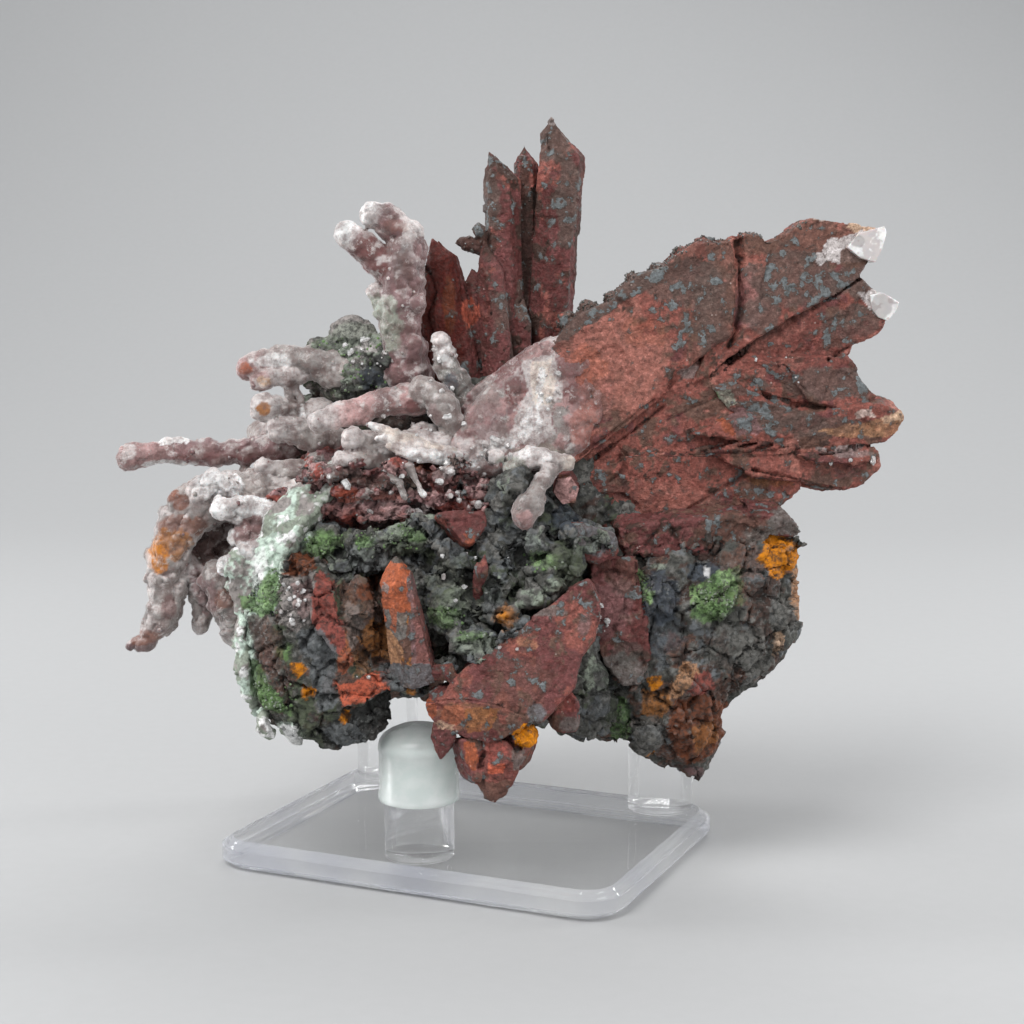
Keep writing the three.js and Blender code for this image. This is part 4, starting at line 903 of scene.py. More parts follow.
tint(left, "iron", [("ash", 3, 0.35), ("brown", 4, 0.36), ("olive", 4, 0.26), ("umber", 2, 0.15)], [
    ("mint", (-37, -18, 40), (2.2, 14, 7), 0.6), ("mint", (-29.5, -20, 28.2), (3, 12, 2.2), 0.7),
    ("mauve", (-33.2, -24, 41.6), (1.2, 8, 3.4), 0.5), ("pearl", (-29, -28, 51.4), (1, 5, 2), 0.5),
], [
    ("mint", 0.8, [(-42, 63), (-35, 64), (-29.4, 61), (-31, 53.9), (-32, 48.3), (-37.9, 46), (-42, 50)]),
    ("white", 0.5, [(-35.6, 60), (-33, 59), (-33.4, 54), (-35, 51), (-36.6, 53), (-35.4, 56)]),
    ("leaf", 0.85, LEAFY_CORNER), ("lime", 0.6, [(-34, 52.6), (-32.6, 53.4), (-32.4, 50.6), (-34, 49.6)]),
    ("mint", 0.8, [(-39.4, 45), (-36.6, 44.6), (-35.4, 39.3), (-35.2, 33), (-38.4, 32), (-39.4, 40)]),
    ("moss", 0.85, [(-36.7, 40.5), (-34.5, 39.7), (-30.2, 33), (-29, 31), (-34.2, 31.6), (-36.6, 36)]),
    ("leaf", 0.8, [(-35, 36), (-33.4, 36.4), (-32.6, 33.6), (-34.6, 33)]),
    ("leaf", 0.8, [(-31.6, 43.4), (-29.4, 43.6), (-29.4, 41), (-31.4, 40.8)]),
    ("leaf", 0.7, [(-32.4, 34.6), (-30.2, 34.4), (-30.4, 32), (-32.6, 32.6)]),
    ("umber", 0.8, [(-37, 47.6), (-33.3, 48), (-32.6, 44), (-34.4, 40), (-36, 43)]),
    ("brown", 0.6, [(-33.3, 47.9), (-31.2, 45.3), (-30.1, 43.1), (-31.3, 37.9), (-34.2, 38.3),
     (-34.5, 43.1)]),
    ("olive", 0.8, [(-28.6, 30.8), (-24.6, 29.9), (-24, 25.4), (-28.4, 25)]),
    ("white", 0.9, [(-32, 28.4), (-28.5, 29.9), (-28, 26.6), (-30.6, 24.6)]),
    ("smoke", 0.9, [(-31.3, 52.3), (-30.2, 55), (-25.4, 55), (-24.8, 52), (-25.7, 47.2), (-27.8, 45.6),
     (-30.7, 47)]),
    ("blush", 0.5, [(-28.4, 54), (-25.6, 54), (-25, 50.6), (-26.6, 48), (-28.6, 50)]),
    ("rust", 0.95, [(-30.6, 55.2), (-28.6, 60), (-26.2, 57.4), (-25.3, 55.4), (-28.1, 54.6)]),
    ("red", 0.95, [(-25, 55.6), (-21.9, 53.6), (-21, 48.5), (-18.8, 44.9), (-18.4, 41.4), (-19.9, 41.7),
     (-22.4, 43.2), (-25.6, 47.2), (-25.1, 52.1)]),
    ("amber", 0.5, [(-20.6, 52.4), (-18.6, 52.4), (-18.2, 44), (-16.6, 40.4), (-18.4, 41), (-20, 46)]),
    ("brown", 0.8, [(-21.4, 53.4), (-16.2, 54.6), (-14.4, 51.6), (-14, 47.9), (-15.4, 40.4), (-18.2, 42.6),
     (-20.3, 47)]),
    ("smoke", 0.45, [(-20, 51), (-17.6, 50), (-16.6, 45), (-18.4, 43.6), (-20, 47)]),
    ("rust", 0.8, [(-18, 53.6), (-15.2, 53.6), (-15.2, 51), (-17.4, 50.8)]),
    ("amber", 0.8, [(-18, 45), (-16, 48), (-13, 46), (-13, 40.4), (-16.4, 40.6)]),
    ("slate", 0.9, [(-28, 45.6), (-24.1, 47.1), (-21.5, 43.4), (-21.5, 41), (-24.2, 40.4), (-28, 42.4)]),
    ("slate", 0.85, [(-25.8, 41), (-21.8, 41), (-21.9, 32.9), (-24.4, 32), (-26, 35.9)]),
    ("flame", 0.95, [(-22.2, 37.4), (-18.7, 36.9), (-16.5, 38.8), (-13, 38.4), (-12.7, 36.4), (-15.8, 34),
     (-20.4, 33)]),
    ("orange", 0.8, [(-21.6, 41.2), (-19.4, 44.2), (-18.4, 41), (-19.6, 38.8), (-21.4, 38.4)]),
    ("tan", 0.7, [(-18.4, 41.6), (-16.8, 40.6), (-16.2, 38.8), (-18.6, 38)]),
    ("char", 0.92, [(-17, 33.8), (-12.4, 36.4), (-11.8, 30.9), (-14.4, 26), (-20.4, 23), (-25.4, 28.7),
     (-19.6, 31.9)]),
    ("slate", 0.6, [(-24.4, 28.6), (-19, 31), (-17, 27), (-21, 24)]),
    ("ochre", 1, [(-29.2, 40.8), (-27.4, 40.6), (-26.3, 39.4), (-28.2, 38), (-29, 39.4)]),
    ("ochre", 1, [(-27.6, 36.4), (-25, 36.2), (-25.4, 34.6), (-27, 34.4)]),
    ("ochre", 0.95, [(-21.4, 30.4), (-20.4, 32), (-19.5, 31.8), (-20.4, 30)]),
    ("slate", 0.85, [(-15.1, 39.3), (-10.7, 40.1), (-7.8, 37.9), (-6.4, 36.4), (-9.3, 34.8), (-12.9, 36.6)]),
], behind=-14)

# %% Core
core = begin("stone_core")
ball((-14, 2, 79), (11, 7, 7.6), level=4)
mass(front=-12, back=19, middle=(7, 60), outline=[
    (-29, 62), (-27, 52), (-18, 45), (-8, 40), (6, 37), (20, 38), (34, 41), (44, 46), (42, 58), (33, 68),
    (25, 76), (14, 84), (0, 86), (-12, 82), (-24, 74)])
one_skin(core, 0.6)
roughen(core, swells=1.1, facets=0.8)
tint(core, "iron", [("umber", 5, 0.4), ("olive", 4, 0.3), ("ash", 2.4, 0.25), ("char", 2, 0.1)], [
    ("umber", (-14, -4, 79), (14, 8, 7), 0.9)])

# %% Red band
band = begin("red_band")
mass(front=-17, back=5, middle=(-11, 68), outline=[
    (-31, 62), (-24, 59), (-12, 60), (0, 62), (8, 66), (8.6, 71.4), (2, 75), (-8, 76), (-20, 75.6),
    (-28, 73), (-32, 68)])
for shape in [
        ((-8, -10, 64), (-22, -14.6, 66.4), (-26, -15, 66.4), 4.6, 5, 10),
        ((-2, -12, 66), (-15, -17, 63.6), (-18.4, -17.6, 62.8), 4, 4.4),
        ((4, -12, 64), (-6, -20, 66.6), (-9, -21, 67), 3.6, 4, 30),
        ((0, -12, 68), (-9, -18, 71), (-12, -19, 71.4), 3, 3.4, 20),
        ((-24, -8, 64), (-32, -15, 66), (-34.4, -16, 66.6), 5, 4.6, 20),
        ((8, -14, 66), (3, -21, 64), (1.4, -23, 63.4), 3.4, 3, 15)]:
    crystal(*shape)
for i in range(38):
    foot = Vector((rng.uniform(-24, 5), rng.uniform(-16, -13), rng.uniform(62, 72)))
    run = Vector((-rng.uniform(3, 8), -rng.uniform(2, 5), rng.uniform(-2, 2)))
    width = rng.uniform(1.8, 4)
    crystal(foot, foot + run, foot + 1.25 * run, width, width * rng.uniform(0.5, 1), roll=rng.uniform(0, 60))
one_skin(band, 0.3)
weather(band, [(4, 0.8, 0.4), (1.8, 0.4, 0.2)], grain=0.25)
BAND_SPOTS = [("wine", 2.6, 0.42), ("blush", 2.4, 0.42), ("red", 3, 0.22), ("smoke", 1.6, 0.14)]
tint(band, "mauve", BAND_SPOTS, [
    ("ash", (-22, -15, 71), (5, 6, 2), 0.5), ("blush", (-14, -17, 64), (5, 5, 2.4), 0.6),
    ("blush", (-22, -16, 65), (4, 5, 2), 0.5), ("blush", (-1, -18, 70), (3, 5, 2), 0.4),
    ("rust", (-6, -17, 72.4), (5, 6, 1.7), 0.9), ("flame", (-20, -17, 67), (3, 6, 1.4), 0.5),
    ("red", (-3, -19, 65), (2.4, 5, 1.4), 0.6), ("pearl", (-3.4, -19, 71), (2.4, 6, 1.2), 0.8),
    ("garnet", (-7, -18, 70), (3.4, 6, 2.4), 0.7), ("clay", (-14, -19, 67), (3, 6, 1), 0.7),
    ("pearl", (-8, -19, 64.6), (2.4, 5, 1.2), 0.6), ("olive", (-10, -18, 69), (3, 6, 1.6), 0.5),
    ("smoke", (2, -18, 73), (6, 6, 1.6), 0.6), ("umber", (-17, -16, 69.4), (5, 6, 1.2), 0.7),
    ("umber", (-8, -16, 61), (12, 6, 1.4), 0.7),
])

# %% Centre
centre = begin("centre_matrix")
mass(front=-25.6, back=-4, middle=(4, 56), outline=[
    (-13, 61.4), (-11, 57), (-7, 50), (-3, 43), (6, 41), (13, 45), (19, 49), (20.4, 55), (19.4, 61),
    (16, 66.6), (10, 69.6), (5, 69), (3, 64), (-3, 61.4), (-9, 61.4)])
mass(front=-26.6, back=-6, middle=(11, 38), outline=[
    (-3.4, 37), (-2.4, 32.8), (4, 29.4), (12, 28.4), (15.4, 26.8), (21, 25.8), (24.2, 27), (24.6, 33),
    (23, 44), (20, 52), (9, 52), (-1, 47)])
boulders([
    ((-7.4, -22, 60.6), (4.4, 6, 4)), ((5.6, -23, 57), (4.6, 6, 4.4)), ((12.6, -24, 53.4), (4.4, 6, 4.4)),
    ((16.4, -22.4, 57), (3.2, 6, 5)), ((-2.6, -25.4, 50.4), (4.6, 4.6, 5)),
    ((0.8, -28.6, 44), (4.4, 3.6, 2.8)), ((-1, -25, 55.6), (3, 4, 3)), ((6.4, -28.4, 49), (3, 3, 2)),
    ((20.4, -21, 60), (4, 5, 3)), ((21.8, -17, 33), (3.4, 6, 3.8)), ((20, -15, 40), (4, 7, 6)),
    ((-3.8, -28, 40), (1.8, 3, 1.8)), ((6, -27, 31), (5, 4.6, 3)), ((-9.4, -24, 36.4), (2.4, 3.4, 2.4)),
    ((11, -27.6, 51), (4, 3, 2)), ((18, -24, 50), (2, 3, 2)), ((22, -19, 29), (3, 5, 2.6)),
    ((11, -28.4, 33), (2.4, 4, 2.6)), ((-24, -18, 58.6), (4.4, 5, 3.6)), ((-17, -20.6, 58), (5, 5, 4.4)),
    ((-12, -22, 60), (3.4, 4, 2.8)), ((-20.6, -21, 55), (4, 4, 3)), ((4.4, -26.6, 53.4), (3.6, 3.4, 3.6)),
    ((3.8, -28, 49.4), (2.6, 2.6, 2.4)), ((8, -29.6, 47.6), (2.6, 2.2, 1.8)),
    ((2.8, -31, 42.4), (3.4, 2.6, 1.7)), ((6.6, -31.6, 45.6), (2.4, 2, 1.3)), ((3, -28, 28), (5, 3.4, 3)),
    ((-8, -20, 54), (5, 5, 5)), ((10.4, -24.6, 61), (4, 4, 3.6)), ((6.6, -21, 67.4), (3.4, 5, 5)),
    ((11.4, -19, 64), (4, 5, 5))])
for place, size in zip(rng.uniform((-10, -27, 44), (19, -23, 62), (40, 3)), rng.uniform(1, 2.2, 40)):
    boulder(place, (size, size, 0.8 * size))
one_skin(centre, 0.34)
roughen(centre, swells=1.1, facets=0.9)
grow(centre, [
    ((12, -27, 57), (4, 5, 2)), ((-3.6, -28, 48.5), (3, 5, 2)), ((-13, -22, 60), (8, 8, 3)),
    ((0, -30, 45), (4, 5, 1.4)), ((-24, -22, 59), (4, 6, 2))], 0.9, 0.25)
tint(centre, "iron", [("slate", 5, 0.6), ("olive", 4, 0.3), ("ash", 2.4, 0.4), ("sage", 3, 0.1)], [
    ("ink", (11, -22, 67.4), (4, 6, 3), 0.5), ("slate", (10, -24, 60), (4, 6, 5), 0.6),
    ("olive", (-10, -22, 60), (4.6, 8, 3), 0.8), ("moss", (-9, -24, 61.4), (3, 6, 1.4), 0.7),
    ("moss", (-24.6, -22, 59.4), (3.4, 6, 2.6), 0.85), ("leaf", (-24.6, -22, 60), (2, 6, 1.2), 0.6),
    ("mint", (-28, -22, 61), (2.6, 6, 2), 0.5), ("char", (-20, -24, 56), (3, 6, 3), 0.5),
    ("slate", (-16.4, -24, 57), (4, 6, 3.4), 0.6), ("leaf", (-17, -25, 60), (1.6, 6, 1), 0.7),
    ("sage", (-12, -24, 61.4), (2, 4, 1), 0.6), ("olive", (-1, -28, 52), (6, 8, 6.4), 0.45),
    ("sage", (-1.4, -29, 51), (3, 5, 3), 0.35), ("moss", (-3.6, -29, 48.5), (2.8, 5, 2), 0.6),
    ("lime", (-4, -29, 49), (1.2, 4, 0.8), 0.5), ("sage", (1.2, -31, 44.4), (4, 5, 2), 0.7),
    ("moss", (0.6, -31, 45.4), (2.4, 5, 0.9), 0.7), ("slate", (4, -29, 51), (2.4, 5, 3), 0.6),
    ("moss", (12.1, -28, 57.4), (3.6, 6, 1.5), 0.6), ("lime", (11, -28, 57), (1.4, 4, 0.7), 0.6),
    ("lime", (14, -28, 57.6), (0.9, 4, 1), 0.6), ("olive", (16.6, -26, 57), (3, 7, 4.8), 0.8),
    ("sage", (20, -24, 60), (4, 6, 3), 0.4), ("amber", (6.2, -31, 48.8), (2.2, 4, 2), 0.8),
    ("ochre", (5.9, -31, 48.6), (1.2, 4, 1.2), 0.7), ("ink", (16.6, -20, 63.4), (3.4, 8, 2.4), 0.9),
    ("char", (22, -16, 34), (4.6, 12, 8), 0.5), ("ochre", (-9.4, -27, 35.4), (1, 3, 1.2), 0.8),
    ("slate", (-8.6, -26, 37.8), (3, 5, 1.8), 0.7), ("brown", (3, -31, 28), (5, 5, 3), 0.7),
])

# %% Right side
right = begin("right_matrix")
mass(front=-19.4, back=4, middle=(38, 43), outline=[
    (57.2, 46.5), (56.6, 52), (56.8, 58.4), (51, 61.6), (40, 62.4), (28, 60), (21, 55), (20.4, 46),
    (20.2, 36), (19.4, 28.4), (22, 23), (27, 22.8), (31.3, 19.4), (36.4, 17.6), (39.6, 16), (41.4, 17.8),
    (43.8, 24), (45.4, 29.8), (51.2, 33.6), (54.7, 38), (57.2, 42.4)])
boulders([
    ((26.6, -17, 38), (3.8, 5.4, 3.4)), ((32, -17.4, 50), (3.8, 4.6, 4.8)), ((42, -16, 49), (4.6, 4.8, 5)),
    ((53, -12, 56.4), (3.6, 4.8, 3.2)), ((40, -9, 58.6), (12, 7, 3.2)), ((53.4, -14, 46), (3, 4.6, 3.4)),
    ((48.7, -15.6, 41.4), (2.6, 4, 2.8)), ((37.6, -15, 34.4), (5.4, 6.6, 4)),
    ((36.4, -14.6, 27), (5.4, 6, 5)), ((30.4, -16, 25.6), (3.4, 4.6, 3.4)),
    ((39.4, -11, 18.6), (2.4, 3, 2.6)), ((46.8, -15, 47), (2.4, 4, 2.4)), ((48.6, -14, 53), (3, 4, 2.4)),
    ((44.6, -15.4, 37), (2.4, 4, 2.4))])
crystal((38, -10, 23), (39.6, -12.4, 17), (39.9, -12.6, 15.4), 3.8, 3.4, roll=15)
crystal((52, -10, 58), (56.6, -13.4, 58.4), (58, -13.6, 58), 3, 1.6, roll=40)
one_skin(right, 0.34)
roughen(right, facets=0.8)
grow(right, [
    ((52.8, -15, 56.2), (3.4, 6, 3.4)), ((53.6, -17, 46), (3, 5, 3.4)),
    ((35, -19, 35), (5, 6, 3))], 1.8, 0.35)
grow(right, [
    ((41.5, -19, 50), (4, 6, 3)), ((29.4, -20, 51.6), (1.4, 5, 2.2)),
    ((38.7, -18, 27), (5, 7, 6))], 1.2, 0.45)
tint(right, "iron", [("ash", 3, 0.36), ("brown", 4, 0.36), ("umber", 3, 0.25), ("slate", 2, 0.15)], [
    ("ink", (32, -20, 50), (4, 7, 5), 0.8), ("ink", (40.4, -19, 54), (4, 7, 2), 0.85),
    ("sage", (31.6, -20, 54.8), (2.2, 5, 0.6), 0.8), ("moss", (40.5, -19, 47.2), (3, 6, 1.8), 0.9),
    ("ash", (53.7, -16, 46.3), (3, 7, 3.4), 0.8), ("ash", (48.7, -18, 41.4), (2.4, 6, 2.8), 0.7),
    ("brown", (46, -14, 55.6), (6, 9, 3), 0.7), ("ash", (44, -17, 41), (5, 6, 4), 0.4),
    ("ink", (33, -18, 43), (4, 6, 4), 0.5), ("brown", (38.7, -18, 32), (8, 8, 4), 0.7),
    ("mauve", (39.2, -13, 17.8), (1.6, 6, 1.6), 0.7),
], [
    ("moss", 0.45, [(37, 51), (46, 55), (47, 49), (42, 45.6), (37.6, 47)]),
    ("ochre", 1, [(50, 58.4), (51.6, 60), (55.4, 58.6), (56.6, 57), (55.8, 54), (53, 52.6), (50, 54.6),
     (49, 56)]),
    ("tan", 0.9, [(55.2, 53.6), (58, 53), (58.4, 46), (56, 45), (55.4, 48)]),
    ("lime", 0.9, [(28, 54.4), (29.4, 54), (29.2, 52), (31, 51), (30.6, 49), (28.6, 49.4), (27.8, 52)]),
    ("leaf", 0.7, [(38.6, 52), (41, 53), (44.6, 54.6), (45.8, 51), (44.2, 49), (42, 47), (39, 47.6),
     (37.4, 50)]),
    ("lime", 0.7, [(42, 54), (44.8, 54.4), (45.4, 51), (43.6, 50.4), (42.6, 51.6)]),
    ("lime", 0.7, [(37.2, 51.6), (39, 51.4), (39, 48.8), (37.2, 48.6)]),
    ("white", 0.8, [(40, 54.8), (41.2, 54.2), (40.8, 52.8), (40, 53.2)]),
    ("sand", 0.9, [(52.4, 43.6), (54, 42.4), (53.6, 39.6), (51.8, 38.6), (52, 41)]),
    ("tan", 0.9, [(36.2, 38.4), (38.4, 38.6), (39.4, 36.6), (37, 35), (35.6, 32.6), (33.4, 32.2),
     (34.2, 35)]),
    ("ochre", 0.95, [(30.2, 36), (32.2, 36.8), (33, 34.4), (31, 33.6)]),
    ("amber", 0.8, [(29.4, 33.2), (33.6, 33.6), (34.6, 31), (32, 28.6), (29.2, 29.4)]),
    ("red", 0.85, [(38.4, 37), (41, 36.8), (42.4, 34), (39, 32.6), (37.4, 34)]),
    ("rust", 0.9, [(35, 32), (40, 33), (45, 30), (44.6, 26), (43, 21.6), (38, 19), (35.6, 22), (33.6, 27)]),
    ("amber", 0.5, [(38, 27), (42, 28), (43, 24), (39, 21.6)]),
    ("ash", 0.6, [(27.6, 28.8), (32, 29.4), (34, 26), (32.6, 21), (29, 22)]),
    ("moss", 0.85, [(24, 31), (26.6, 32.4), (27.8, 29), (27, 23), (24.6, 23.6)]),
    ("ochre", 0.7, [(30.6, 22.6), (32.4, 22.4), (32, 20.8), (30.8, 21)]),
])

# %% [markdown]
# Two smooth maroon plates are set in this rough side: an upright one, and a long one along its top.

# %% Maroon plates
maroon = begin("maroon_plates")
slab(-21.6, 8, 3, -3, 0.35, [
    (20.8, 57), (28.6, 56.6), (29, 52), (30.2, 45), (30.8, 40.1), (29.2, 35.2), (26, 35), (22.8, 39),
    (21.2, 43.4), (20, 49.1)])
slab(-16.4, 8, 6, 6, 0.35, [
    (25.2, 61.4), (30, 62.4), (36.5, 63), (50.2, 64), (51.8, 60.6), (50, 56.4), (46.6, 55.2), (42.3, 55),
    (36.6, 55), (30.6, 56.4), (26.4, 56.4)])
slab(-15.2, 8, 14, 16, 0.3, [
    (48, 63.8), (54.6, 63), (57.6, 60), (56, 58.8), (51, 59.6), (49, 61)])
one_skin(maroon, 0.3)
weather(maroon, [(6, 0.7, 0.3), (2.2, 0.3, 0.15)], skin=0.4, grain=0.25)
tint(maroon, "wine", [("brown", 4, 0.36), ("maroon", 3, 0.3), ("umber", 2, 0.15)], [
    ("ash", (26, -22, 37), (5, 6, 4), 0.8), ("iron", (27, -22, 41), (3, 6, 2), 0.5),
    ("mauve", (24, -23, 49), (4, 5, 6), 0.4), ("maroon", (25, -22, 55), (5, 5, 2), 0.5),
    ("brown", (46, -17, 60), (8, 9, 4), 0.8), ("ash", (50, -15, 58.6), (4, 9, 3.4), 0.7),
    ("ash", (54, -15, 61.6), (4, 9, 2.4), 0.8), ("iron", (44, -18, 56), (5, 9, 1.8), 0.6),
    ("umber", (36, -17, 56), (6, 9, 1.4), 0.5),
])

# %% [markdown]
# ## Plates and prisms on the face
# Broken hematite plates and short prisms lie on the matrix. They are slabs and crystals again, with
# flatter relief than the matrix they sit on.

# %% Plates and prisms
PLATES = [
    (-33, 7, -3, -9, 0.2, [(-4, 35.4), (-2.8, 38.4), (0.1, 41.2), (4.2, 43.4), (7, 46), (10.6, 48.8),
     (14.6, 51.6), (17.6, 54.2), (19.6, 55), (21.6, 51.8), (21.4, 48.4), (20.6, 45.3), (18.3, 42.4),
     (17.4, 37.5), (14.6, 34.3), (12.4, 32), (6, 32)]),
    (-33.7, 7, -6, 14, 0.2, [(-6.9, 34.8), (-4.2, 35.9), (0, 36.2), (5, 35.4), (10, 33.2), (10.4, 32.4),
     (7.8, 30.3), (5.4, 28.5), (3.2, 28), (0.8, 28.7), (-3.6, 30), (-5.6, 31.4), (-6.6, 33)]),
    (-30.4, 6, 8, -4, 0.4, [(14, 31), (14.6, 35.6), (17, 36.6), (18.4, 34), (18.2, 29.4), (15, 29.4)]),
    (-32.6, 6, 20, -12, 0.25, [(-1, 28.8), (2.6, 29), (3.6, 25.4), (2.2, 21.4), (1, 22), (-0.2, 25)]),
    (-33, 7, -14, -14, 0.25, [(2.2, 29), (6.2, 28.6), (8, 26), (6, 24.4), (3.4, 23.6), (2.6, 25.4)]),
    (-32.6, 8, -4, 16, 0.25, [(2.4, 24.6), (6, 25.2), (9.2, 26.6), (8.6, 24), (7.4, 20.6), (5.2, 18.7),
     (2.4, 19.2), (1.6, 21.4)]),
    (-31, 6, -24, 0, 0.2, [(6, 29), (9.4, 29), (9.2, 26), (8.2, 23.4), (6.8, 22)]),
    (-32, 6, 8, 10, 0.15, [(2.8, 22), (7.6, 21.8), (6.6, 19), (4.6, 17.6), (2.8, 18.6)]),
    (-27.4, 6, 10, -20, 0.4, [(-5, 65.6), (3, 65.8), (3.6, 63.4), (1, 60), (-0.6, 60), (-2.2, 62.2)]),
    (-23.8, 8, 12, -8, 0.9, [(15.6, 62.6), (19, 63.4), (25.2, 61.4), (25.6, 57.4), (21, 56), (18.6, 57.8)]),
]
PRISMS = [
    ((1.6, -25, 51), (2.6, -29.6, 56.6), (3, -29.4, 59), 2.2, 2),
    ((-3, -26, 34), (-4, -31.6, 28.8), (-4.3, -31.4, 25), 4.6, 4.4, 20),
    ((-6, -28, 39), (-2.6, -31.4, 39.6), (-1.6, -31.6, 39.4), 3, 3, 12),
]

plates = begin("plates_and_prisms")
for shape in PLATES:
    slab(*shape)
for shape in PRISMS:
    crystal(*shape)
ball((9.4, -31, 29.2), (2, 2.4, 2.2), level=3)
one_skin(plates, 0.26)
weather(plates, [(7, 0.4), (2.6, 0.18)])
scribe(plates, [([(-6.4, 35.4), (-1, 36), (4, 35.4), (9.6, 33.4)], 0.4, 0.5),
                ([(2.2, 24), (2.8, 26.4)], 0.5, 0.9)], behind=-20)
weather(plates, skin=0.25, grain=0.2)
grow(plates, [((9.6, -33, 29.2), (2.3, 4, 2.4))], 1.6, 0.6)
tint(plates, "wine", [("brick", 5, 0.36), ("brown", 3, 0.25), ("maroon", 2.4, 0.15)], [
    ("tan", (-0.9, -33, 33), (5, 5, 2.4), 0.3), ("brown", (8, -34, 38), (6, 6, 5), 0.4),
    ("slate", (11.4, -32, 33.4), (1.9, 5, 1.6), 0.8), ("iron", (8, -34, 46.8), (3.4, 5, 1.1), 0.7),
    ("slate", (19, -33, 48), (1.2, 4, 2), 0.4), ("ash", (13, -34, 50), (3.4, 5, 1.2), 0.7),
    ("slate", (21, -24, 61), (4.6, 6, 3), 0.85), ("ash", (16.8, -31, 30.6), (2.1, 5, 1.4), 0.7),
    ("brick", (5, -33, 24), (5, 6, 5), 0.5), ("maroon", (0, -27, 63.6), (4, 5, 3), 0.6),
], [
    ("orange", 0.75, [(-6.8, 35.4), (-5.4, 35), (-5, 32.6), (-6.4, 32.2)]),
    ("orange", 0.5, [(-4, 34.6), (-1, 35), (1, 33), (-2, 31.4), (-4.4, 32)]),
    ("amber", 0.5, [(0, 34.4), (5, 34.4), (4, 30.6), (0, 30)]),
    ("sand", 0.6, [(-5.6, 31.6), (-2.4, 31.4), (-2.6, 30.4), (-5, 30.6)]),
    ("orange", 0.9, [(-0.8, 28.4), (1.4, 28.4), (1.8, 25.6), (1, 23.6), (-0.2, 25.2)]),
    ("brown", 0.7, [(1, 23.6), (2.6, 23), (2.2, 21), (0.8, 21.6)]),
    ("flame", 0.8, [(3.2, 25), (6.4, 25.2), (5.8, 23.4), (3.2, 23.2)]),
    ("red", 0.7, [(3, 28.6), (5.8, 28.2), (7, 26.4), (3.2, 25.2)]),
    ("brown", 0.8, [(1.4, 21.6), (7, 21.6), (7.4, 18), (1.4, 18)]),
    ("ash", 0.7, [(7.4, 27), (9.8, 26.8), (9.2, 23.6), (7.6, 23.8)]),
    ("ochre", 1, [(7.6, 30.4), (9.6, 31.8), (11.6, 30.8), (12, 28.4), (10, 26.8), (7.8, 27.6)]),
    ("red", 0.5, [(14.6, 36), (17.4, 36.4), (18.2, 33), (14.8, 32.6)]),
    ("orange", 0.5, [(-0.6, 62.2), (1.4, 62), (1, 59.6), (-0.6, 59.8)]),
    ("tan", 0.35, [(8.2, 45.8), (11.4, 45), (11, 43.8), (8.4, 44.4)]),
], behind=-15)

# %% [markdown]
# One prism on the left is the brightest crystal of all. It is a piece of its own with a finer voxel, so that
# its edges stay sharp between an orange face and a purple one.

# %% Orange prism
prism = begin("orange_prism")
crystal((-8.6, -26.4, 37.6), (-11.4, -30.8, 55.2), (-11.6, -29.8, 58.8), 5.8, 5.6, foot_scale=1.42, roll=22)
crystal((16.6, -6, 69), (16.4, -21, 68.1), (16.3, -21.5, 68), 4.4, 4.4, foot_scale=1, roll=10)
one_skin(prism, 0.2)
weather(prism, [(3.4, 0.18)], skin=0.18, grain=0.15)
tint(prism, "brown", [("amber", 3, 0.3), ("umber", 2, 0.2)], [
    ("wine", (16.4, -12, 68), (5, 12, 5), 1), ("clay", (16.4, -22, 68.2), (3.6, 2.4, 3.6), 1),
    ("blush", (16.2, -22, 68.4), (3.6, 2.4, 3.6), 0.8)], [("mauve", 0.9, [(-9.4, 60), (-4, 60), (-4, 32),
     (-9, 32), (-9.2, 45)]),
    ("brick", 0.5, [(-8.6, 52), (-6.4, 52), (-5.4, 38), (-8.2, 38)]),
    ("brown", 0.8, [(-9.4, 60), (-4, 60), (-6, 55), (-9.2, 55.6)]),
    ("orange", 1, [(-15.4, 55.4), (-12.6, 58), (-9.3, 57.4), (-9.2, 50), (-10, 49), (-11.8, 50.4),
     (-15, 50)]),
    ("orange", 0.9, [(-15.4, 50.6), (-13.6, 50.6), (-13.4, 47.4), (-15, 47)]),
    ("ash", 0.85, [(-13.6, 50.4), (-9.4, 49.4), (-9.8, 46), (-11.2, 44.4), (-12.4, 46.6), (-13.2, 47)]),
    ("orange", 0.8, [(-12.4, 50.4), (-11.4, 50.2), (-11.4, 46.6), (-12.4, 47)]),
    ("tan", 0.8, [(-13.6, 46.6), (-12, 46.4), (-10.4, 44), (-10.4, 40.6), (-14.6, 40.6)]),
    ("smoke", 0.8, [(-13.8, 54.6), (-12.8, 54), (-13, 52.6), (-13.8, 52.8)]),
    ("iron", 0.85, [(-14, 57.8), (-11.6, 60), (-9.4, 58.8), (-10.4, 57.6), (-12.4, 58)]),
    ("slate", 0.85, [(-12.9, 40.6), (-6, 40.6), (-5, 34), (-12, 34)]),
], behind=-20)

# %% [markdown]
# ## The back
# From behind, the same stone goes on: matrix down to the two rear posts, and stout blades that lean away.

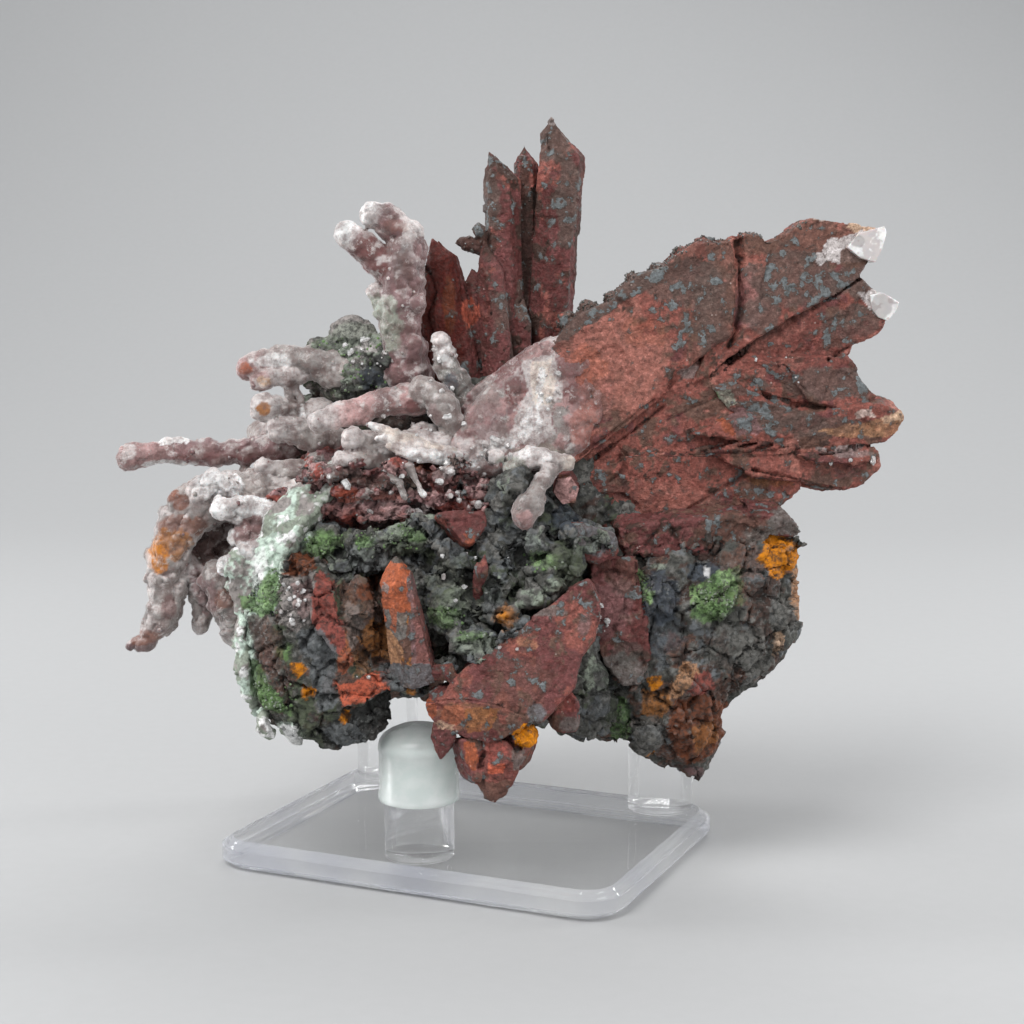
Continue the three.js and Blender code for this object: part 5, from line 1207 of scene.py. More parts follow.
# %% Back of the stone
rear = begin("rear_matrix")
mass(front=6, back=36, middle=(-15, 38), outline=[
    (-30, 40), (-27, 28.6), (-18, 23.4), (-7, 25), (-1, 33), (0, 48), (-8, 56), (-22, 55), (-30, 48)])
mass(front=-6, back=19, middle=(35, 36), outline=[
    (23, 40), (25, 28.6), (33, 24), (42, 25.4), (47, 33), (48, 44), (42, 54), (30, 56), (24, 49)])
balls(4, [
    ((-4, 14, 70), (12.4, 8.6, 8.6)), ((18, 15, 58), (12, 8, 7)), ((6, 18, 44), (12, 9, 8)),
    ((-26, 22, 48), (5, 6, 5)), ((-12, 32, 44), (6, 4, 6)), ((40, 14, 44), (5, 5, 6))])
one_skin(rear, 0.46)
roughen(rear, swells=2)
tint(rear, "iron", [("ash", 6, 0.3), ("brown", 8, 0.4), ("char", 4, 0.22), ("olive", 7, 0.2)], [
    ("moss", (-14, 34, 46), (8, 9, 6), 0.7), ("mint", (-27, 26, 46), (5, 8, 8), 0.6),
    ("ochre", (10, 25, 46), (3, 6, 3), 0.8), ("amber", (44, 14, 40), (4, 8, 5), 0.6),
    ("wine", (4, 20, 68), (12, 9, 8), 0.7), ("rust", (36, 18, 32), (6, 6, 6), 0.7),
])

REAR_BLADES = [
    ((8, 10, 62), (13, 22, 88), (14, 24, 93), 8, 6, 20),
    ((-2, 10, 62), (-7, 25, 82), (-8, 28, 87), 7, 5.5, -15), ((16, 8, 62), (30, 21, 82), (33, 23, 86), 8, 6),
    ((10, 12, 56), (17, 34, 66), (19, 38, 68), 7.5, 6, 30),
    ((24, 6, 58), (43, 19, 68), (47, 21, 71), 7, 5.5),
    ((-8, 10, 56), (-19, 31, 66), (-21, 34, 68), 6.5, 5, 10),
    ((2, 12, 58), (3, 30, 74), (3, 33, 77), 5, 4.4, 40),
    ((12, 12, 52), (32, 27, 56), (35, 29, 57), 5, 4.6, 15),
]
rear_blades = begin("rear_blades")
for shape in REAR_BLADES:
    crystal(*shape)
one_skin(rear_blades, 0.36)
weather(rear_blades, [(5, 0.4)], skin=0.4, grain=0.25)
tint(rear_blades, "wine", [("brick", 6, 0.45), ("maroon", 5, 0.3), ("brown", 3, 0.2)], [
    ("pearl", (14, 24, 92), (3, 4, 3), 0.7), ("smoke", (-21, 33, 67), (3, 4, 3), 0.6)])

# %% [markdown]
# ## The mint skin
# A pale green skin hangs over the left end like candle wax: a broad cone from the fingers, then thin
# strands down the rim. Strands are fingers with small radii, and they melt together in one skin.

# %% Mint skin
CONE_TOP, CONE_FOOT = Vector((-20, -13, 73)), Vector((-32, -18.4, 58))
mint = begin("mint_skin")
finger([
    (-18, -12, 73.4, 1.4), (-23, -14, 70, 2.3), (-27, -15.6, 65.6, 3.4),
    (-31, -16.6, 61, 4.6)], knobs=0.05, spacing=0.3)
finger([
    (-30, -17, 61, 3.6), (-34, -18.4, 56, 3.6), (-37, -18, 50, 2.4), (-37.8, -17, 44, 1.8),
    (-37.6, -16, 37, 1.7)], spacing=0.3)
for i in range(12):
    side = rng.uniform(-1, 1)
    finger([(-22 + 2 * side, -15.6, 71 + side, 0.7), (-28 + 3.4 * side, -18.6, 64 + 2.6 * side, 1),
            (-34 + 4.8 * side, -21, 57 + 2.8 * side, 1.1), (-35.6 + 3 * side, -22, 50 + 2 * side, 0.8)],
           knobs=0.3, spacing=0.9, level=1)
STRANDS = [  # across, height of the top, length
    (-37.4, 50, 9), (-38, 43, 9), (-36.8, 36, 6), (-34.6, 31, 4), (-37.8, 47, 10), (-31.6, 28, 2),
    (-29.6, 28, 3), (-33.6, 55, 5), (-35, 56, 8), (-32.4, 57, 5), (-39, 58, 6)]
for x, z, length in STRANDS:
    depth = rng.uniform(-24, -17)
    finger([(x, depth, z, 1.1), (x + rng.uniform(-0.4, 0.8), depth - 1, z - length / 2, 1.4),
            (x + rng.uniform(0, 1), depth, z - length, 0.9)], knobs=0.3, spacing=0.7, level=1)
one_skin(mint, 0.28)
weather(mint, [(3, 0.35)], streaks=(CONE_FOOT - CONE_TOP, 1.4, 0.4), skin=0.45, grain=0.12)
tint(mint, "sage", [("mint", 3, 0.5), ("smoke", 2.4, 0.3), ("white", 1.8, 0.12)], [
    ("sage", (-24, -16, 68), (4, 6, 4), 0.5), ("smoke", (-22, -16, 70.4), (4, 6, 3), 0.5),
    ("white", (-38, -18, 61), (4, 7, 4), 0.7), ("white", (-34.6, -20, 55), (1.6, 7, 4), 0.5),
], [
    ("leaf", 0.85, LEAFY_CORNER),
    ("moss", 0.7, [(-36.4, 40.5), (-34.5, 39.7), (-33, 33), (-36, 33), (-36.6, 36)]),
    ("white", 0.8, [(-32, 29), (-28, 30), (-27.4, 25), (-31, 23)]),
])

# %% [markdown]
# ## Beads, moss and druse
# The last growth is small: beads of chalcedony on the fingers, green grains in the hollows, dark druse on
# the fan's edge, and quartz points that catch the light. One grain is modelled and copied to many places,
# and all copies become one mesh. Places are drawn from the points of the piece below, inside named balls.

# %% Scatter
def pick(piece, regions, count):
    """Random points of a piece inside any of the regions, with their normals."""
    points, normals = points_of(piece), normals_of(piece)
    inside = np.zeros(len(points), bool)
    for middle, reach in regions:
        inside |= np.linalg.norm((points - middle) / np.array(reach), axis=1) < 1
    chosen = rng.choice(np.flatnonzero(inside), min(count, int(inside.sum())), replace=False)
    return list(zip(points[chosen], normals[chosen]))


def pick_all(table):
    """Places on several pieces, from rows with a piece, a count and the regions."""
    return [place for piece, count, regions in table for place in pick(piece, regions, count)]


def scatter(name, grain, places, sizes, sink=0.2):
    """Copies of a grain, each stood on its place along the normal there, as one mesh."""
    shape = points_of(grain)
    faces = np.array([f.vertices[:] for f in grain.data.polygons])
    bodies, skins = [], []
    for i, ((place, normal), size) in enumerate(zip(places, sizes)):
        lean = Vector(normal) + Vector(rng.normal(0, 0.35, 3))
        turn = np.array(lean.to_track_quat("Z", "Y").to_matrix())
        spin = np.array(Matrix.Rotation(rng.uniform(0, 2 * math.pi), 3, "Z"))
        bodies.append(size * shape @ (turn @ spin).T + place - sink * size * normal)
        skins.append(faces + i * len(shape))
    mesh = bpy.data.meshes.new(name)
    mesh.from_pydata((np.concatenate(bodies) * MM).tolist(), [], np.concatenate(skins).tolist())
    piece = bpy.data.objects.new(name, mesh)
    bpy.context.collection.objects.link(piece)
    print(name, "has", len(places), "grains and", len(mesh.polygons), "faces")
    return piece


def bead_grain():
    grain = begin("bead")
    ball((0, 0, 0), (1, 1, 1), 1)
    bpy.ops.object.mode_set(mode="OBJECT")
    return grain


def point_grain():
    grain = begin("point")
    crystal((0, 0, -1), (0, 0, 0.7), (0.1, 0, 1.5), 1.5, 1.4, foot_scale=1)
    bpy.ops.mesh.select_all(action="SELECT")
    bpy.ops.mesh.quads_convert_to_tris()
    bpy.ops.object.mode_set(mode="OBJECT")
    return grain


bead, point = bead_grain(), point_grain()

# %% Beads and moss
places = pick_all([
    (fingers, 200, [((-30, 0, 80), (34, 20, 34)), ((10, -24, 68), (6, 8, 8))]),
    (claw, 90, [((-46, -10, 54), (16, 20, 18))])])
beads = scatter("chalcedony_beads", bead, places, rng.uniform(0.15, 0.6, len(places)), sink=0.5)
tint(beads, "smoke", [("pearl", 3, 0.5), ("mauve", 4, 0.3)])

places = pick_all([
    (left, 300, [((-32.2, -24, 52), (2, 7, 4)), ((-32, -25, 35), (4, 7, 3)), ((-36, -20, 50.4), (2, 8, 2))]),
    (centre, 300, [((-13, -22, 60), (6, 8, 3)), ((-3.6, -28, 48.5), (3.4, 5, 2.4)), ((12, -27, 57.4),
     (4, 6, 1.8)), ((-24, -22, 59.6), (4, 8, 2)), ((0.6, -31, 45.4), (3, 5, 1.2))]),
    (right, 300, [((41.5, -19, 50), (4.4, 6, 3)), ((29.4, -20, 51.6), (1.4, 6, 2.4)), ((25.8, -17, 27),
     (1.6, 6, 4))]),
    (grey_green, 100, [((-20, -5, 88), (8, 6, 6))])])
moss = scatter("moss_grains", bead, places, rng.uniform(0.12, 0.34, len(places)))
tint(moss, "moss", [("leaf", 2, 0.3), ("sage", 1.6, 0.2), ("olive", 3, 0.3)])

# %% Red and dark druse
places = pick_all([
    (band, 110, [((-8, -18, 68), (20, 9, 7)), ((4, -20, 68), (8, 9, 5))])])
red_druse = scatter("red_druse", point, places, rng.uniform(0.2, 0.8, len(places)) ** 1.3, sink=0.5)
tint(red_druse, "mauve", [("wine", 2, 0.3), ("blush", 1.6, 0.4), ("pearl", 3, 0.16)])
places = pick_all([
    (fan, 420, [(place, (3.2, 5, 1.7)) for place, reach in EDGE_LUMPS]),
    (fan_blades, 60, [((48, -6, 110.6), (3.4, 5, 0.9)), ((56, -6, 112), (3, 5, 0.8))]),
    (blades, 90, [((1, 3, 110), (4, 4, 2.6)), ((9.4, 8, 118), (2, 3, 8))])])
dark_druse = scatter("dark_druse", point, places, rng.uniform(0.12, 0.4, len(places)), sink=0.5)
tint(dark_druse, "umber", [("ash", 2, 0.4), ("iron", 3, 0.4), ("slate", 1.6, 0.2)])

# %% Quartz points
places = pick_all([
    (band, 40, [((-8, -18, 68), (20, 9, 6))]), (centre, 12, [((3, -28, 52), (9, 5, 8))]),
    (left, 26, [((-28, -28, 50), (3, 6, 5)), ((-17.3, -27, 39.6), (2, 5, 2))]),
    (fingers, 60, [((-4, -11, 88), (3, 6, 6)), ((-6, -12, 76), (12, 9, 8)), ((10, -24, 73), (6, 5, 3))]),
    (grey_green, 30, [((-18, -5, 90), (6, 6, 3))]),
    (hump, 40, [((1, -14, 73), (7, 6, 3)), ((14, -13, 84), (3, 5, 6))]),
    (fan_blades, 12, [((66, -9, 72.6), (7, 4, 1.4)), ((54, -9, 87), (9, 4, 3))]),
    (maroon, 6, [((22.6, -24, 46), (1.4, 5, 2))])])
sizes = rng.uniform(0.16, 0.75, len(places)) ** 1.4


def front_at(piece, x, z, within=0.7):
    """The foremost point of a piece where it is looked at from the front, with its normal."""
    points, normals = points_of(piece), normals_of(piece)
    close = np.flatnonzero(np.hypot(points[:, 0] - x, points[:, 2] - z) < within)
    nearest = close[np.argmin(points[close, 1])]
    return points[nearest], normals[nearest]


SPARKS = [  # a piece, and for each quartz point on it across, height and size
    (band, [(-20, 68.3, 0.8), (-13.1, 67, 0.6), (-7.8, 64.7, 0.8), (-2.8, 67.8, 0.6), (1.2, 65.6, 1),
                (-3, 70.6, 0.9), (-4.4, 70.2, 0.7), (-1.4, 68.4, 0.5), (-22.6, 70.6, 0.6), (-17, 64.8, 0.5),
                (-10.8, 70, 0.5)]),
    (centre, [(-4, 57.8, 0.5), (-3.4, 54.6, 0.5), (-1.6, 51.6, 0.45)]),
    (plates, [(5.4, 44.6, 0.4), (8, 44.4, 0.4)]),
    (left, [(-26.4, 52.4, 0.6), (-27.4, 50, 0.5)]),
    (hump, [(3, 76, 0.9), (5, 76.4, 1), (7, 75.8, 0.7)]),
    (maroon, [(22.6, 49.4, 0.6), (22.8, 46.6, 0.7), (23.8, 46, 0.4)]),
]
places += [front_at(piece, x, z) for piece, spots in SPARKS for x, z, size in spots]
sizes = [*sizes, *(size for piece, spots in SPARKS for x, z, size in spots)]
druse = scatter("quartz_points", point, places, sizes)
tint(druse, "white", [("pearl", 2, 0.4)])
for helper in (bead, point):
    bpy.data.objects.remove(helper)

# %% [markdown]
# ## The clear stand
# A routed acrylic plate carries three rods, and the front rod wears a frosted soft cap. The plate is a
# cube that is given rounded corners by a bevel of its upright edges, and whose rims are then stepped and
# softened. The rods are cylinders with polished edges, and the cap is a wall spun round the rod's axis.

# %% Stand sizes
plate_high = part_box("stand_base")[1]
PLATE_WIDTH, PLATE_DEPTH, PLATE_CORNER = 76, 58, 7
PLATE_TOP = plate_high.z / MM
STAND_TURN = math.radians(-23.7)
ROD_RADIUS, ROD_TOP = 6, 25
RODS = {"post_front": (0, -21.2), "post_back_left": (-28.5, 22), "post_back_right": (28.5, 22)}


def turn_stand(piece):
    """The stand is modelled square, and its mesh is then turned to where the frame has it."""
    piece.data.transform(Matrix.Rotation(STAND_TURN, 4, "Z"))


def select_where(piece, kind, test):
    """Select the faces or the edges of a piece that pass a test, and no others."""
    bpy.ops.mesh.select_mode(type=kind)
    bpy.ops.mesh.select_all(action="DESELECT")
    edit = bmesh.from_edit_mesh(piece.data)
    for part in edit.faces if kind == "FACE" else edit.edges:
        part.select_set(test(part))
    bmesh.update_edit_mesh(piece.data)


LEVEL = 0.9  # a face whose normal rises more steeply than this lies level
LARGE = 1000 * MM**2  # more area than this has only the top or the underside of the plate


# %% Plate
EDGE_STEPS = [(0.5, 0), (0.25, 0.45), (0.55, 0.3), (0.2, 0.35), (0.5, 0.25)]  # how far in, and how far up

plate = begin("clear_plate")
LOW_RIM = sum(rise for inward, rise in EDGE_STEPS)
bpy.ops.mesh.primitive_cube_add(
    size=MM, location=(0, 0, PLATE_TOP / 2 * MM), scale=(PLATE_WIDTH, PLATE_DEPTH, PLATE_TOP - 2 * LOW_RIM))
select_where(plate, "EDGE", lambda edge: abs(edge.verts[0].co.z - edge.verts[1].co.z) > MM)
bpy.ops.mesh.bevel(offset=PLATE_CORNER * MM, segments=12, affect="EDGES")
for up in (1, -1):
    for inward, rise in EDGE_STEPS:
        select_where(plate, "FACE", lambda face: face.normal.z * up > LEVEL and face.calc_area() > LARGE)
        bpy.ops.mesh.inset(thickness=inward * MM)
        bpy.ops.transform.translate(value=(0, 0, up * rise * MM))
bpy.ops.mesh.select_mode(type="VERT")
bpy.ops.object.mode_set(mode="OBJECT")
turn_stand(plate)
print("plate", PLATE_WIDTH, "by", PLATE_DEPTH, "mm with", len(plate.data.polygons), "faces")

# %% Rods
rods = {}
for node, (x, y) in RODS.items():
    rod = begin("clear_" + node)
    foot = PLATE_TOP + 0.02
    bpy.ops.mesh.primitive_cylinder_add(
        vertices=72, radius=ROD_RADIUS * MM, depth=(ROD_TOP - foot) * MM,
        location=(x * MM, y * MM, (ROD_TOP + foot) / 2 * MM))
    select_where(rod, "FACE", lambda face: abs(face.normal.z) > LEVEL)
    bpy.ops.mesh.region_to_loop()
    bpy.ops.mesh.bevel(offset=0.35 * MM, segments=3, affect="EDGES")
    bpy.ops.object.mode_set(mode="OBJECT")
    turn_stand(rod)
    rods[node] = rod
print("rods:", *rods)

# %% Cap
CAP_PROFILE = [(0, 25.3), (4, 25.3), (5.9, 25.1), (6.3, 24.6), (6.3, 15.2), (6.5, 15), (6.8, 15), (7, 15.2),
               (7, 16.2), (6.85, 16.5), (6.85, 23.4), (7, 23.7), (7, 24.4), (6.8, 25.3), (6.2, 26.2), (5, 27),
               (3.4, 27.7), (1.6, 28.15), (0, 28.3)]
cap = begin("frosted_cap")
x, y = RODS["post_front"]
edit = bmesh.from_edit_mesh(cap.data)
profile = [edit.verts.new(((radius + x) * MM, y * MM, height * MM)) for radius, height in CAP_PROFILE]
for low, high in zip(profile, profile[1:]):
    edit.edges.new((low, high))
bmesh.update_edit_mesh(cap.data)
bpy.ops.mesh.select_all(action="SELECT")
bpy.ops.mesh.spin(steps=72, angle=2 * math.pi, center=(x * MM, y * MM, 0), axis=(0, 0, 1))
bpy.ops.mesh.select_all(action="SELECT")
bpy.ops.mesh.remove_doubles(threshold=0.005 * MM)
bpy.ops.mesh.normals_make_consistent(inside=False)
bpy.ops.object.mode_set(mode="OBJECT")
turn_stand(cap)
print("cap has", len(cap.data.polygons), "faces")

# %% [markdown]
# ## Finishes
# Every stone finish starts from the tint of each point. Noise in Object coordinates adds what is too small
# for the mesh: specks, pits, grain, and a gloss that differs from place to place. By how sharply the surface
# bends, hollows are darkened as painted shade and edges are lightened as a painted highlight.

# %% Node helper
class Finish:
    """A material whose nodes are added one by one and wired by name."""

    def __init__(self, name, **principled):
        self.material = bpy.data.materials.new(name)
        self.material.use_nodes = True
        self.tree = self.material.node_tree
        self.shader = self.tree.nodes["Principled BSDF"]
        for socket, value in principled.items():
            self.shader.inputs[socket.replace("_", " ")].default_value = value
        self.place = self.add("ShaderNodeTexCoord").outputs["Object"]

    def add(self, kind, inputs=None, **settings):
        node = self.tree.nodes.new(kind)
        for key, value in settings.items():
            setattr(node, key, value)
        for key, value in (inputs or {}).items():
            if isinstance(value, bpy.types.NodeSocket):
                self.tree.links.new(value, node.inputs[key])
            else:
                node.inputs[key].default_value = value
        return node

    def noise(self, size, detail=2, roughness=0.5, kind="FBM"):
        """Cloudy noise, or for broken stone the ridged kind, which has sharp crests."""
        inputs = {"Vector": self.place, "Scale": 1 / (size * MM), "Detail": detail, "Roughness": roughness}
        return self.add("ShaderNodeTexNoise", inputs, noise_type=kind).outputs["Fac"]

    def spots(self, size):
        node = self.add("ShaderNodeTexVoronoi", {"Vector": self.place, "Scale": 1 / (size * MM)})
        return node.outputs["Distance"]

    def ramp(self, value, low, high, start=0, end=1):
        inputs = {"Value": value, "From Min": low, "From Max": high, "To Min": start, "To Max": end}
        return self.add("ShaderNodeMapRange", inputs).outputs["Result"]

    def maths(self, operation, a, b):
        return self.add("ShaderNodeMath", {0: a, 1: b}, operation=operation).outputs[0]

    def mix(self, share, a, b, blend="MIX"):
        node = self.add("ShaderNodeMix", {0: share, 6: a, 7: b}, data_type="RGBA", blend_type=blend)
        return node.outputs[2]

    def stain_and_painted_highlight(self, colour, pattern, low, high, most, shade, blend="MIX"):
        """Lay a colour over another as a pattern rises from low to high, there with the share most. It lays
        stains, and painted highlights too.
        """
        return self.mix(self.ramp(pattern, low, high, 0, most), colour, shade, blend)

    def tint(self):
        return self.add("ShaderNodeAttribute", attribute_name="tint").outputs["Color"]

    def speckled(self):
        """How freely grey specks grow here, which is the tint's fourth number."""
        return self.add("ShaderNodeAttribute", attribute_name="tint").outputs["Alpha"]

    def bend(self):
        """Below a half in hollows, above it on edges."""
        return self.add("ShaderNodeNewGeometry").outputs["Pointiness"]

    def bump(self, height, depth, strength=1, over=None):
        inputs = {"Height": height, "Distance": depth * MM, "Strength": strength}
        if over:
            inputs["Normal"] = over
        return self.add("ShaderNodeBump", inputs).outputs["Normal"]

    def wired(self, **sockets):
        """Wire patterns to the shader's sockets, and hand over the material."""
        for socket, value in sockets.items():
            self.tree.links.new(value, self.shader.inputs[socket.replace("_", " ")])
        return self.material


# %% Hematite
def hematite():
    f = Finish("hematite skin", Specular_IOR_Level=0.25)
    colour = f.stain_and_painted_highlight(f.tint(), f.noise(1.2, 5, 0.75), 0.46, 0.62, 0.5, (0.06, 0.03, 0.025, 1))
    colour = f.mix(f.ramp(f.noise(0.7, 4, 0.7), 0.5, 0.66), colour, (1.7, 1.75, 1.8, 1), "MULTIPLY")
    growth = f.maths("ADD", f.maths("MULTIPLY", f.speckled(), 0.12), f.maths("MULTIPLY", f.noise(9, 3), 0.3))
    growth = f.maths("ADD", f.noise(2.2, 4, 0.6), growth)
    colour = f.stain_and_painted_highlight(colour, growth, 0.765, 0.815, 0.75, (0.082, 0.055, 0.045, 1))
    grey = f.mix(f.ramp(f.noise(0.8, 3, 0.7), 0.35, 0.65), (0.085, 0.09, 0.088, 1), (0.2, 0.225, 0.235, 1))
    colour = f.stain_and_painted_highlight(colour, growth, 0.822, 0.842, 0.9, grey)
    pits = f.ramp(f.noise(0.7, 2, 0.6), 0.3, 0.35, 0.5, 0)
    colour = f.mix(pits, colour, (0.02, 0.011, 0.009, 1))
    flecks = f.maths("MULTIPLY", f.ramp(f.spots(1.6), 0.08, 0.13, 0.6, 0), f.ramp(f.noise(5, 2), 0.55, 0.65))
    colour = f.mix(flecks, colour, (0.5, 0.4, 0.36, 1))
    # Painted shade: hollows, found by how sharply the surface bends, are darkened nearly to black.
    colour = f.mix(f.ramp(f.bend(), 0.38, 0.47, 0.85, 0), colour, (0.014, 0.009, 0.008, 1))
    # Painted highlight: edges are lightened the same way.
    colour = f.stain_and_painted_highlight(colour, f.bend(), 0.55, 0.64, 0.3, (0.28, 0.18, 0.15, 1))
    gloss = f.ramp(f.noise(1.0, 3), 0.35, 0.65, 0.42, 0.85)
    normal = f.bump(f.noise(1.3, 4, 0.7), 0.45, 1, over=f.bump(f.noise(0.4, 3, 0.7), 0.2, 1))
    return f.wired(Base_Color=colour, Roughness=gloss, Normal=f.bump(growth, 0.6, 1, over=normal))


# %% Chalcedony
def chalcedony(name="waxy chalcedony", cloudy=0.2, rough=0.36):
    f = Finish(name, Subsurface_Weight=cloudy, Subsurface_Radius=(1, 0.6, 0.5), Subsurface_Scale=0.9 * MM,
               Specular_IOR_Level=0.45, Sheen_Weight=0.6, Sheen_Roughness=0.45,
               Sheen_Tint=(0.9, 0.86, 0.85, 1))
    colour = f.stain_and_painted_highlight(f.tint(), f.noise(2.4, 5, 0.7), 0.45, 0.6, 0.6, (0.12, 0.064, 0.056, 1))
    colour = f.stain_and_painted_highlight(colour, f.noise(2.2, 5, 0.75), 0.56, 0.66, 0.6, (0.62, 0.58, 0.56, 1))
    colour = f.stain_and_painted_highlight(colour, f.noise(0.8, 4, 0.7), 0.52, 0.66, 0.45, (0.14, 0.085, 0.075, 1))
    # Painted shade: hollows, found by how sharply the surface bends, are darkened.
    colour = f.mix(f.ramp(f.bend(), 0.4, 0.485, 0.75, 0), colour, (0.07, 0.036, 0.03, 1))
    # Painted highlight: edges are lightened the same way, as pale rims of the waxy skin.
    colour = f.stain_and_painted_highlight(colour, f.bend(), 0.54, 0.64, 0.4, (0.66, 0.62, 0.6, 1))
    gloss = f.ramp(f.noise(0.8), 0.3, 0.7, rough - 0.16, rough + 0.2)
    normal = f.bump(f.noise(1.1, 4, 0.65), 0.4, 0.9, over=f.bump(f.noise(0.3, 2, 0.6), 0.05, 0.7))
    return f.wired(Base_Color=colour, Roughness=gloss, Normal=normal)


# %% Matrix
def matrix_stone():
    f = Finish("dark matrix", Specular_IOR_Level=0.3)
    colour = f.stain_and_painted_highlight(f.tint(), f.noise(1.1, 5, 0.75), 0.46, 0.6, 0.75, (0.02, 0.021, 0.019, 1))
    crests = f.noise(1.3, 4, kind="RIDGED_MULTIFRACTAL")
    # Painted highlight: the raised crests of the bump are also made lighter in colour.
    colour = f.stain_and_painted_highlight(colour, crests, 0.5, 1.1, 0.8, (2.3, 2.25, 2.1, 1), "MULTIPLY")
    zones = f.maths("MULTIPLY", f.ramp(f.noise(5, 2), 0.4, 0.6, 0.2, 0.8), f.speckled())
    specks = f.maths("MULTIPLY", f.ramp(f.noise(0.9, 3, 0.7), 0.56, 0.61), zones)
    colour = f.mix(specks, colour, (0.24, 0.245, 0.235, 1))
    # Painted shade: hollows, found by how sharply the surface bends, are darkened nearly to black.
    colour = f.mix(f.ramp(f.bend(), 0.38, 0.47, 0.85, 0), colour, (0.008, 0.008, 0.008, 1))
    # Painted highlight: edges are lightened the same way.
    colour = f.stain_and_painted_highlight(colour, f.bend(), 0.55, 0.66, 0.4, (0.24, 0.235, 0.22, 1))
    gloss = f.ramp(f.noise(0.8), 0.3, 0.7, 0.4, 0.85)
    normal = f.bump(crests, 0.6, 1, over=f.bump(f.noise(0.35, 3, 0.7), 0.2, 1))
    return f.wired(Base_Color=colour, Roughness=gloss, Normal=normal)


# %% Small crusts, clear plastic and soft cap
def crust(name, **principled):
    f = Finish(name, **principled)
    colour = f.stain_and_painted_highlight(f.tint(), f.noise(0.7, 3, 0.6), 0.45, 0.65, 0.5, (0.05, 0.045, 0.04, 1))
    return f.wired(Base_Color=colour, Normal=f.bump(f.noise(0.5, 3, 0.6), 0.12, 0.7))


def bare_quartz():
    f = Finish("bare quartz", Roughness=0.22, Specular_IOR_Level=0.6, Subsurface_Weight=0.15,
               Subsurface_Scale=MM)
    return f.wired(Base_Color=f.stain_and_painted_highlight(f.tint(), f.noise(1.6, 3, 0.6), 0.4, 0.62, 0.4, (0.4, 0.39, 0.4, 1)))


def clear_plastic(name, alpha):
    f = Finish(name, Transmission_Weight=1.0, IOR=1.49, Base_Color=(0.99, 0.995, 1.0, 1), Alpha=alpha)
    return f.wired(Roughness=f.ramp(f.noise(9, 2), 0.55, 0.8, 0.0, 0.02))


def edge_with_painted_highlights():
    f = Finish("polished acrylic edge", Transmission_Weight=0.75, IOR=1.49, Alpha=0.75)
    # Painted highlights and reflections: the base colour is patchy between lavender-blue and white, as light
    # shows in the rims.
    colour = f.mix(f.ramp(f.noise(14, 2), 0.35, 0.65), (0.74, 0.76, 0.86, 1), (0.97, 0.98, 1.0, 1))
    return f.wired(Base_Color=colour, Roughness=f.ramp(f.noise(6, 3), 0.4, 0.7, 0.02, 0.12))


def frosted():
    f = Finish("frosted silicone", Transmission_Weight=0.6, IOR=1.41, Roughness=0.22, Alpha=0.74)
    colour = f.mix(f.ramp(f.noise(3, 4, 0.6), 0.4, 0.6), (0.88, 0.95, 0.92, 1), (0.96, 1.0, 0.98, 1))
    return f.wired(Base_Color=colour, Normal=f.bump(f.noise(1.6, 3, 0.6), 0.1, 0.6))


# %% Give each piece its finish and its place in the frame
STONE = hematite()
WAXY = chalcedony()
MILKY = chalcedony("milky quartz", cloudy=0.3, rough=0.3)
MATRIX = matrix_stone()
MINT = crust("mint skin", Roughness=0.7)
GRAINS = crust("moss grains", Roughness=0.8)
BEADS = crust("bead skin", Roughness=0.35, Subsurface_Weight=0.2, Subsurface_Scale=0.5 * MM)
DRUSE = crust("druse", Roughness=0.25, Specular_IOR_Level=0.5)
QUARTZ = crust("quartz points", Roughness=0.06, Specular_IOR_Level=0.7, Transmission_Weight=0.25)


def dress(piece, finish, node, corner=None):
    piece.data.materials.clear()
    piece.data.materials.append(finish)
    deselect()
    piece.select_set(True)
    bpy.context.view_layer.objects.active = piece
    if corner:
        bpy.ops.object.shade_smooth_by_angle(angle=math.radians(corner))
    else:
        bpy.ops.object.shade_smooth()
    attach(piece, "root")
    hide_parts(node)


for piece, finish in [
        (blades, STONE), (fan, STONE), (fan_blades, STONE), (fingers, WAXY), (core, MATRIX), (band, STONE),
        (grey_green, MATRIX), (claw, WAXY), (hump, MILKY), (left, MATRIX), (centre, MATRIX), (right, MATRIX),
        (plates, STONE), (rear, MATRIX), (rear_blades, STONE), (maroon, STONE), (prism, STONE), (mint, MINT),
        (beads, BEADS), (moss, GRAINS)]:
    dress(piece, finish, "quartz_cluster")
for piece, finish in [(red_druse, DRUSE), (dark_druse, DRUSE), (druse, QUARTZ)]:
    dress(piece, finish, "quartz_cluster", corner=5)
dress(bare_ends, bare_quartz(), "quartz_cluster", corner=25)

ROD_ACRYLIC = clear_plastic("clear acrylic rods", 0.6)
dress(plate, clear_plastic("clear acrylic", 0.3), "stand_base", corner=20)
plate.data.materials.append(edge_with_painted_highlights())
for face in plate.data.polygons:
    face.material_index = 0 if abs(face.normal.z) > LEVEL and face.area > LARGE else 1
for node, rod in rods.items():
    dress(rod, ROD_ACRYLIC, node, corner=40)
dress(cap, frosted(), "post_cap", corner=50)
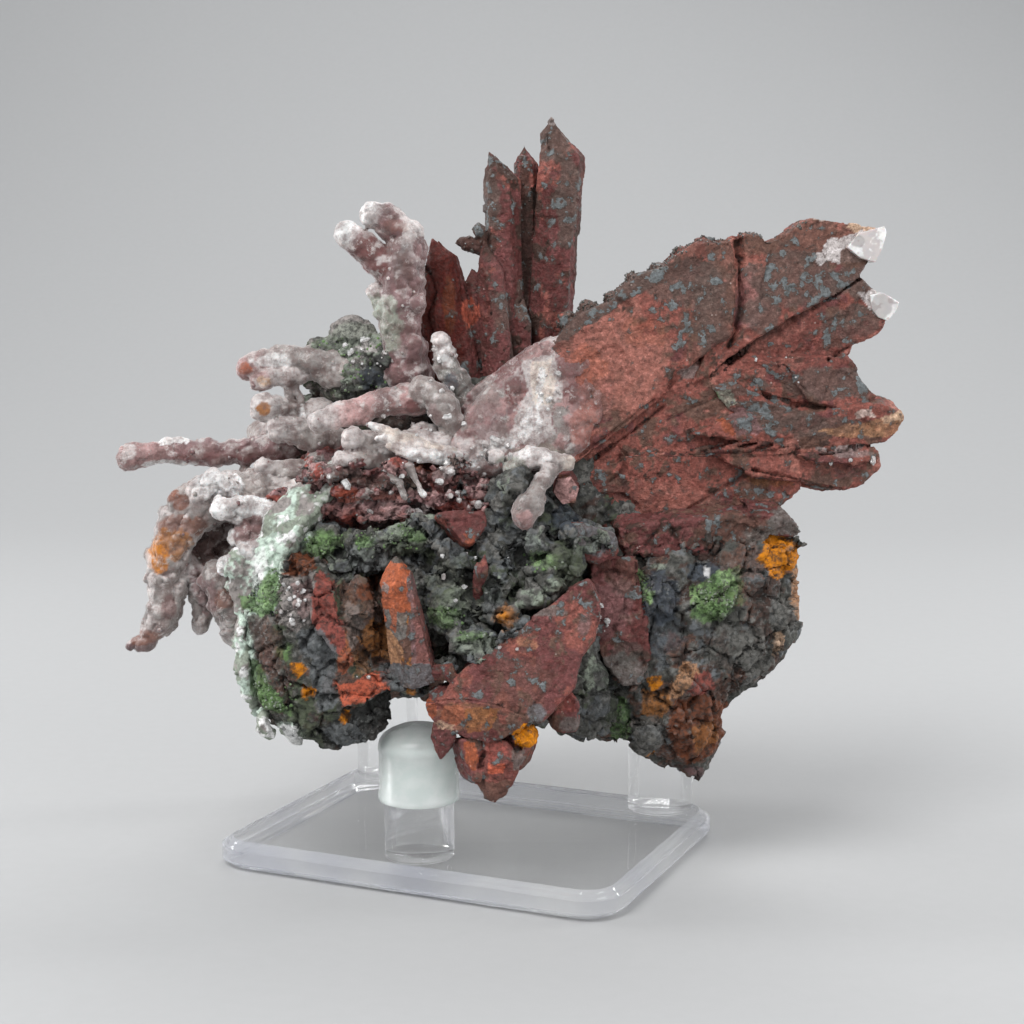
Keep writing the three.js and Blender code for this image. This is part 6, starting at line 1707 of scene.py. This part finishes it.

# %% [markdown]
# ## Stage, light and camera
# A pale table curves up into a pale wall, so that no horizon shows. The light is soft and comes from large
# panels, with narrow ones at the sides that put bright edges into the clear stand, over the highlights and
# reflections painted into its edge finish.

# %% Stage
deselect()
bpy.ops.mesh.primitive_plane_add(size=4)
floor = bpy.context.object
floor.name = "table"
bpy.ops.object.mode_set(mode="EDIT")
select_where(floor, "EDGE", lambda edge: all(v.co.y > 0 for v in edge.verts))
bpy.ops.transform.translate(value=(0, -0.9, 0))
bpy.ops.mesh.extrude_region_move(TRANSFORM_OT_translate={"value": (0, 0, 2.5)})
select_where(floor, "EDGE", lambda edge: len(edge.link_faces) == 2)
bpy.ops.mesh.bevel(offset=0.7, segments=24, affect="EDGES")
bpy.ops.object.mode_set(mode="OBJECT")
bpy.ops.object.shade_smooth()
paper = Finish("pale paper", Roughness=0.75, Specular_IOR_Level=0.2)
pale = paper.mix(paper.noise(3, 3), (0.4, 0.403, 0.405, 1), (0.418, 0.421, 0.424, 1))
floor.data.materials.append(paper.wired(Base_Color=pale))

# %% Lights
def panel(name, place, target, size, power):
    light = bpy.data.objects.new(name, bpy.data.lights.new(name, "AREA"))
    light.data.shape = "RECTANGLE"
    light.data.size, light.data.size_y = size
    light.data.energy = power
    light.location = place
    light.rotation_euler = (Vector(target) - Vector(place)).to_track_quat("-Z", "Y").to_euler()
    bpy.context.collection.objects.link(light)


STONE_MIDDLE = (0, 0, 0.07)
panel("key", (-0.35, -0.55, 0.85), STONE_MIDDLE, (0.5, 0.5), 8.4)
panel("fill", (0.65, -0.6, 0.35), STONE_MIDDLE, (0.5, 0.5), 2.6)
panel("back", (0.2, 0.6, 0.8), STONE_MIDDLE, (0.8, 0.5), 4.2)
panel("left edge", (-0.6, 0.1, 0.25), STONE_MIDDLE, (0.12, 0.5), 2.6)
panel("right edge", (0.6, 0.15, 0.2), STONE_MIDDLE, (0.1, 0.4), 1.8)
print(len(bpy.data.lights), "panels of light")
world = bpy.data.worlds.new("studio")
bpy.context.scene.world = world
world.use_nodes = True
sky = world.node_tree.nodes["Background"].inputs
sky["Color"].default_value = (0.95, 0.97, 1, 1)
sky["Strength"].default_value = 0.5

# %% Camera
LOOKS_DOWN = 7.735  # degrees
camera = bpy.data.objects.new("camera", bpy.data.cameras.new("camera"))
camera.data.lens = 66.1
camera.data.sensor_width = 36
camera.location = (0.00736, -0.3316, 0.1068)
camera.rotation_euler = (math.radians(90 - LOOKS_DOWN), 0, 0)
bpy.context.collection.objects.link(camera)
bpy.context.scene.camera = camera
bpy.context.scene.view_settings.view_transform = "Standard"
print("camera at", [round(v / MM, 1) for v in camera.location], "mm")
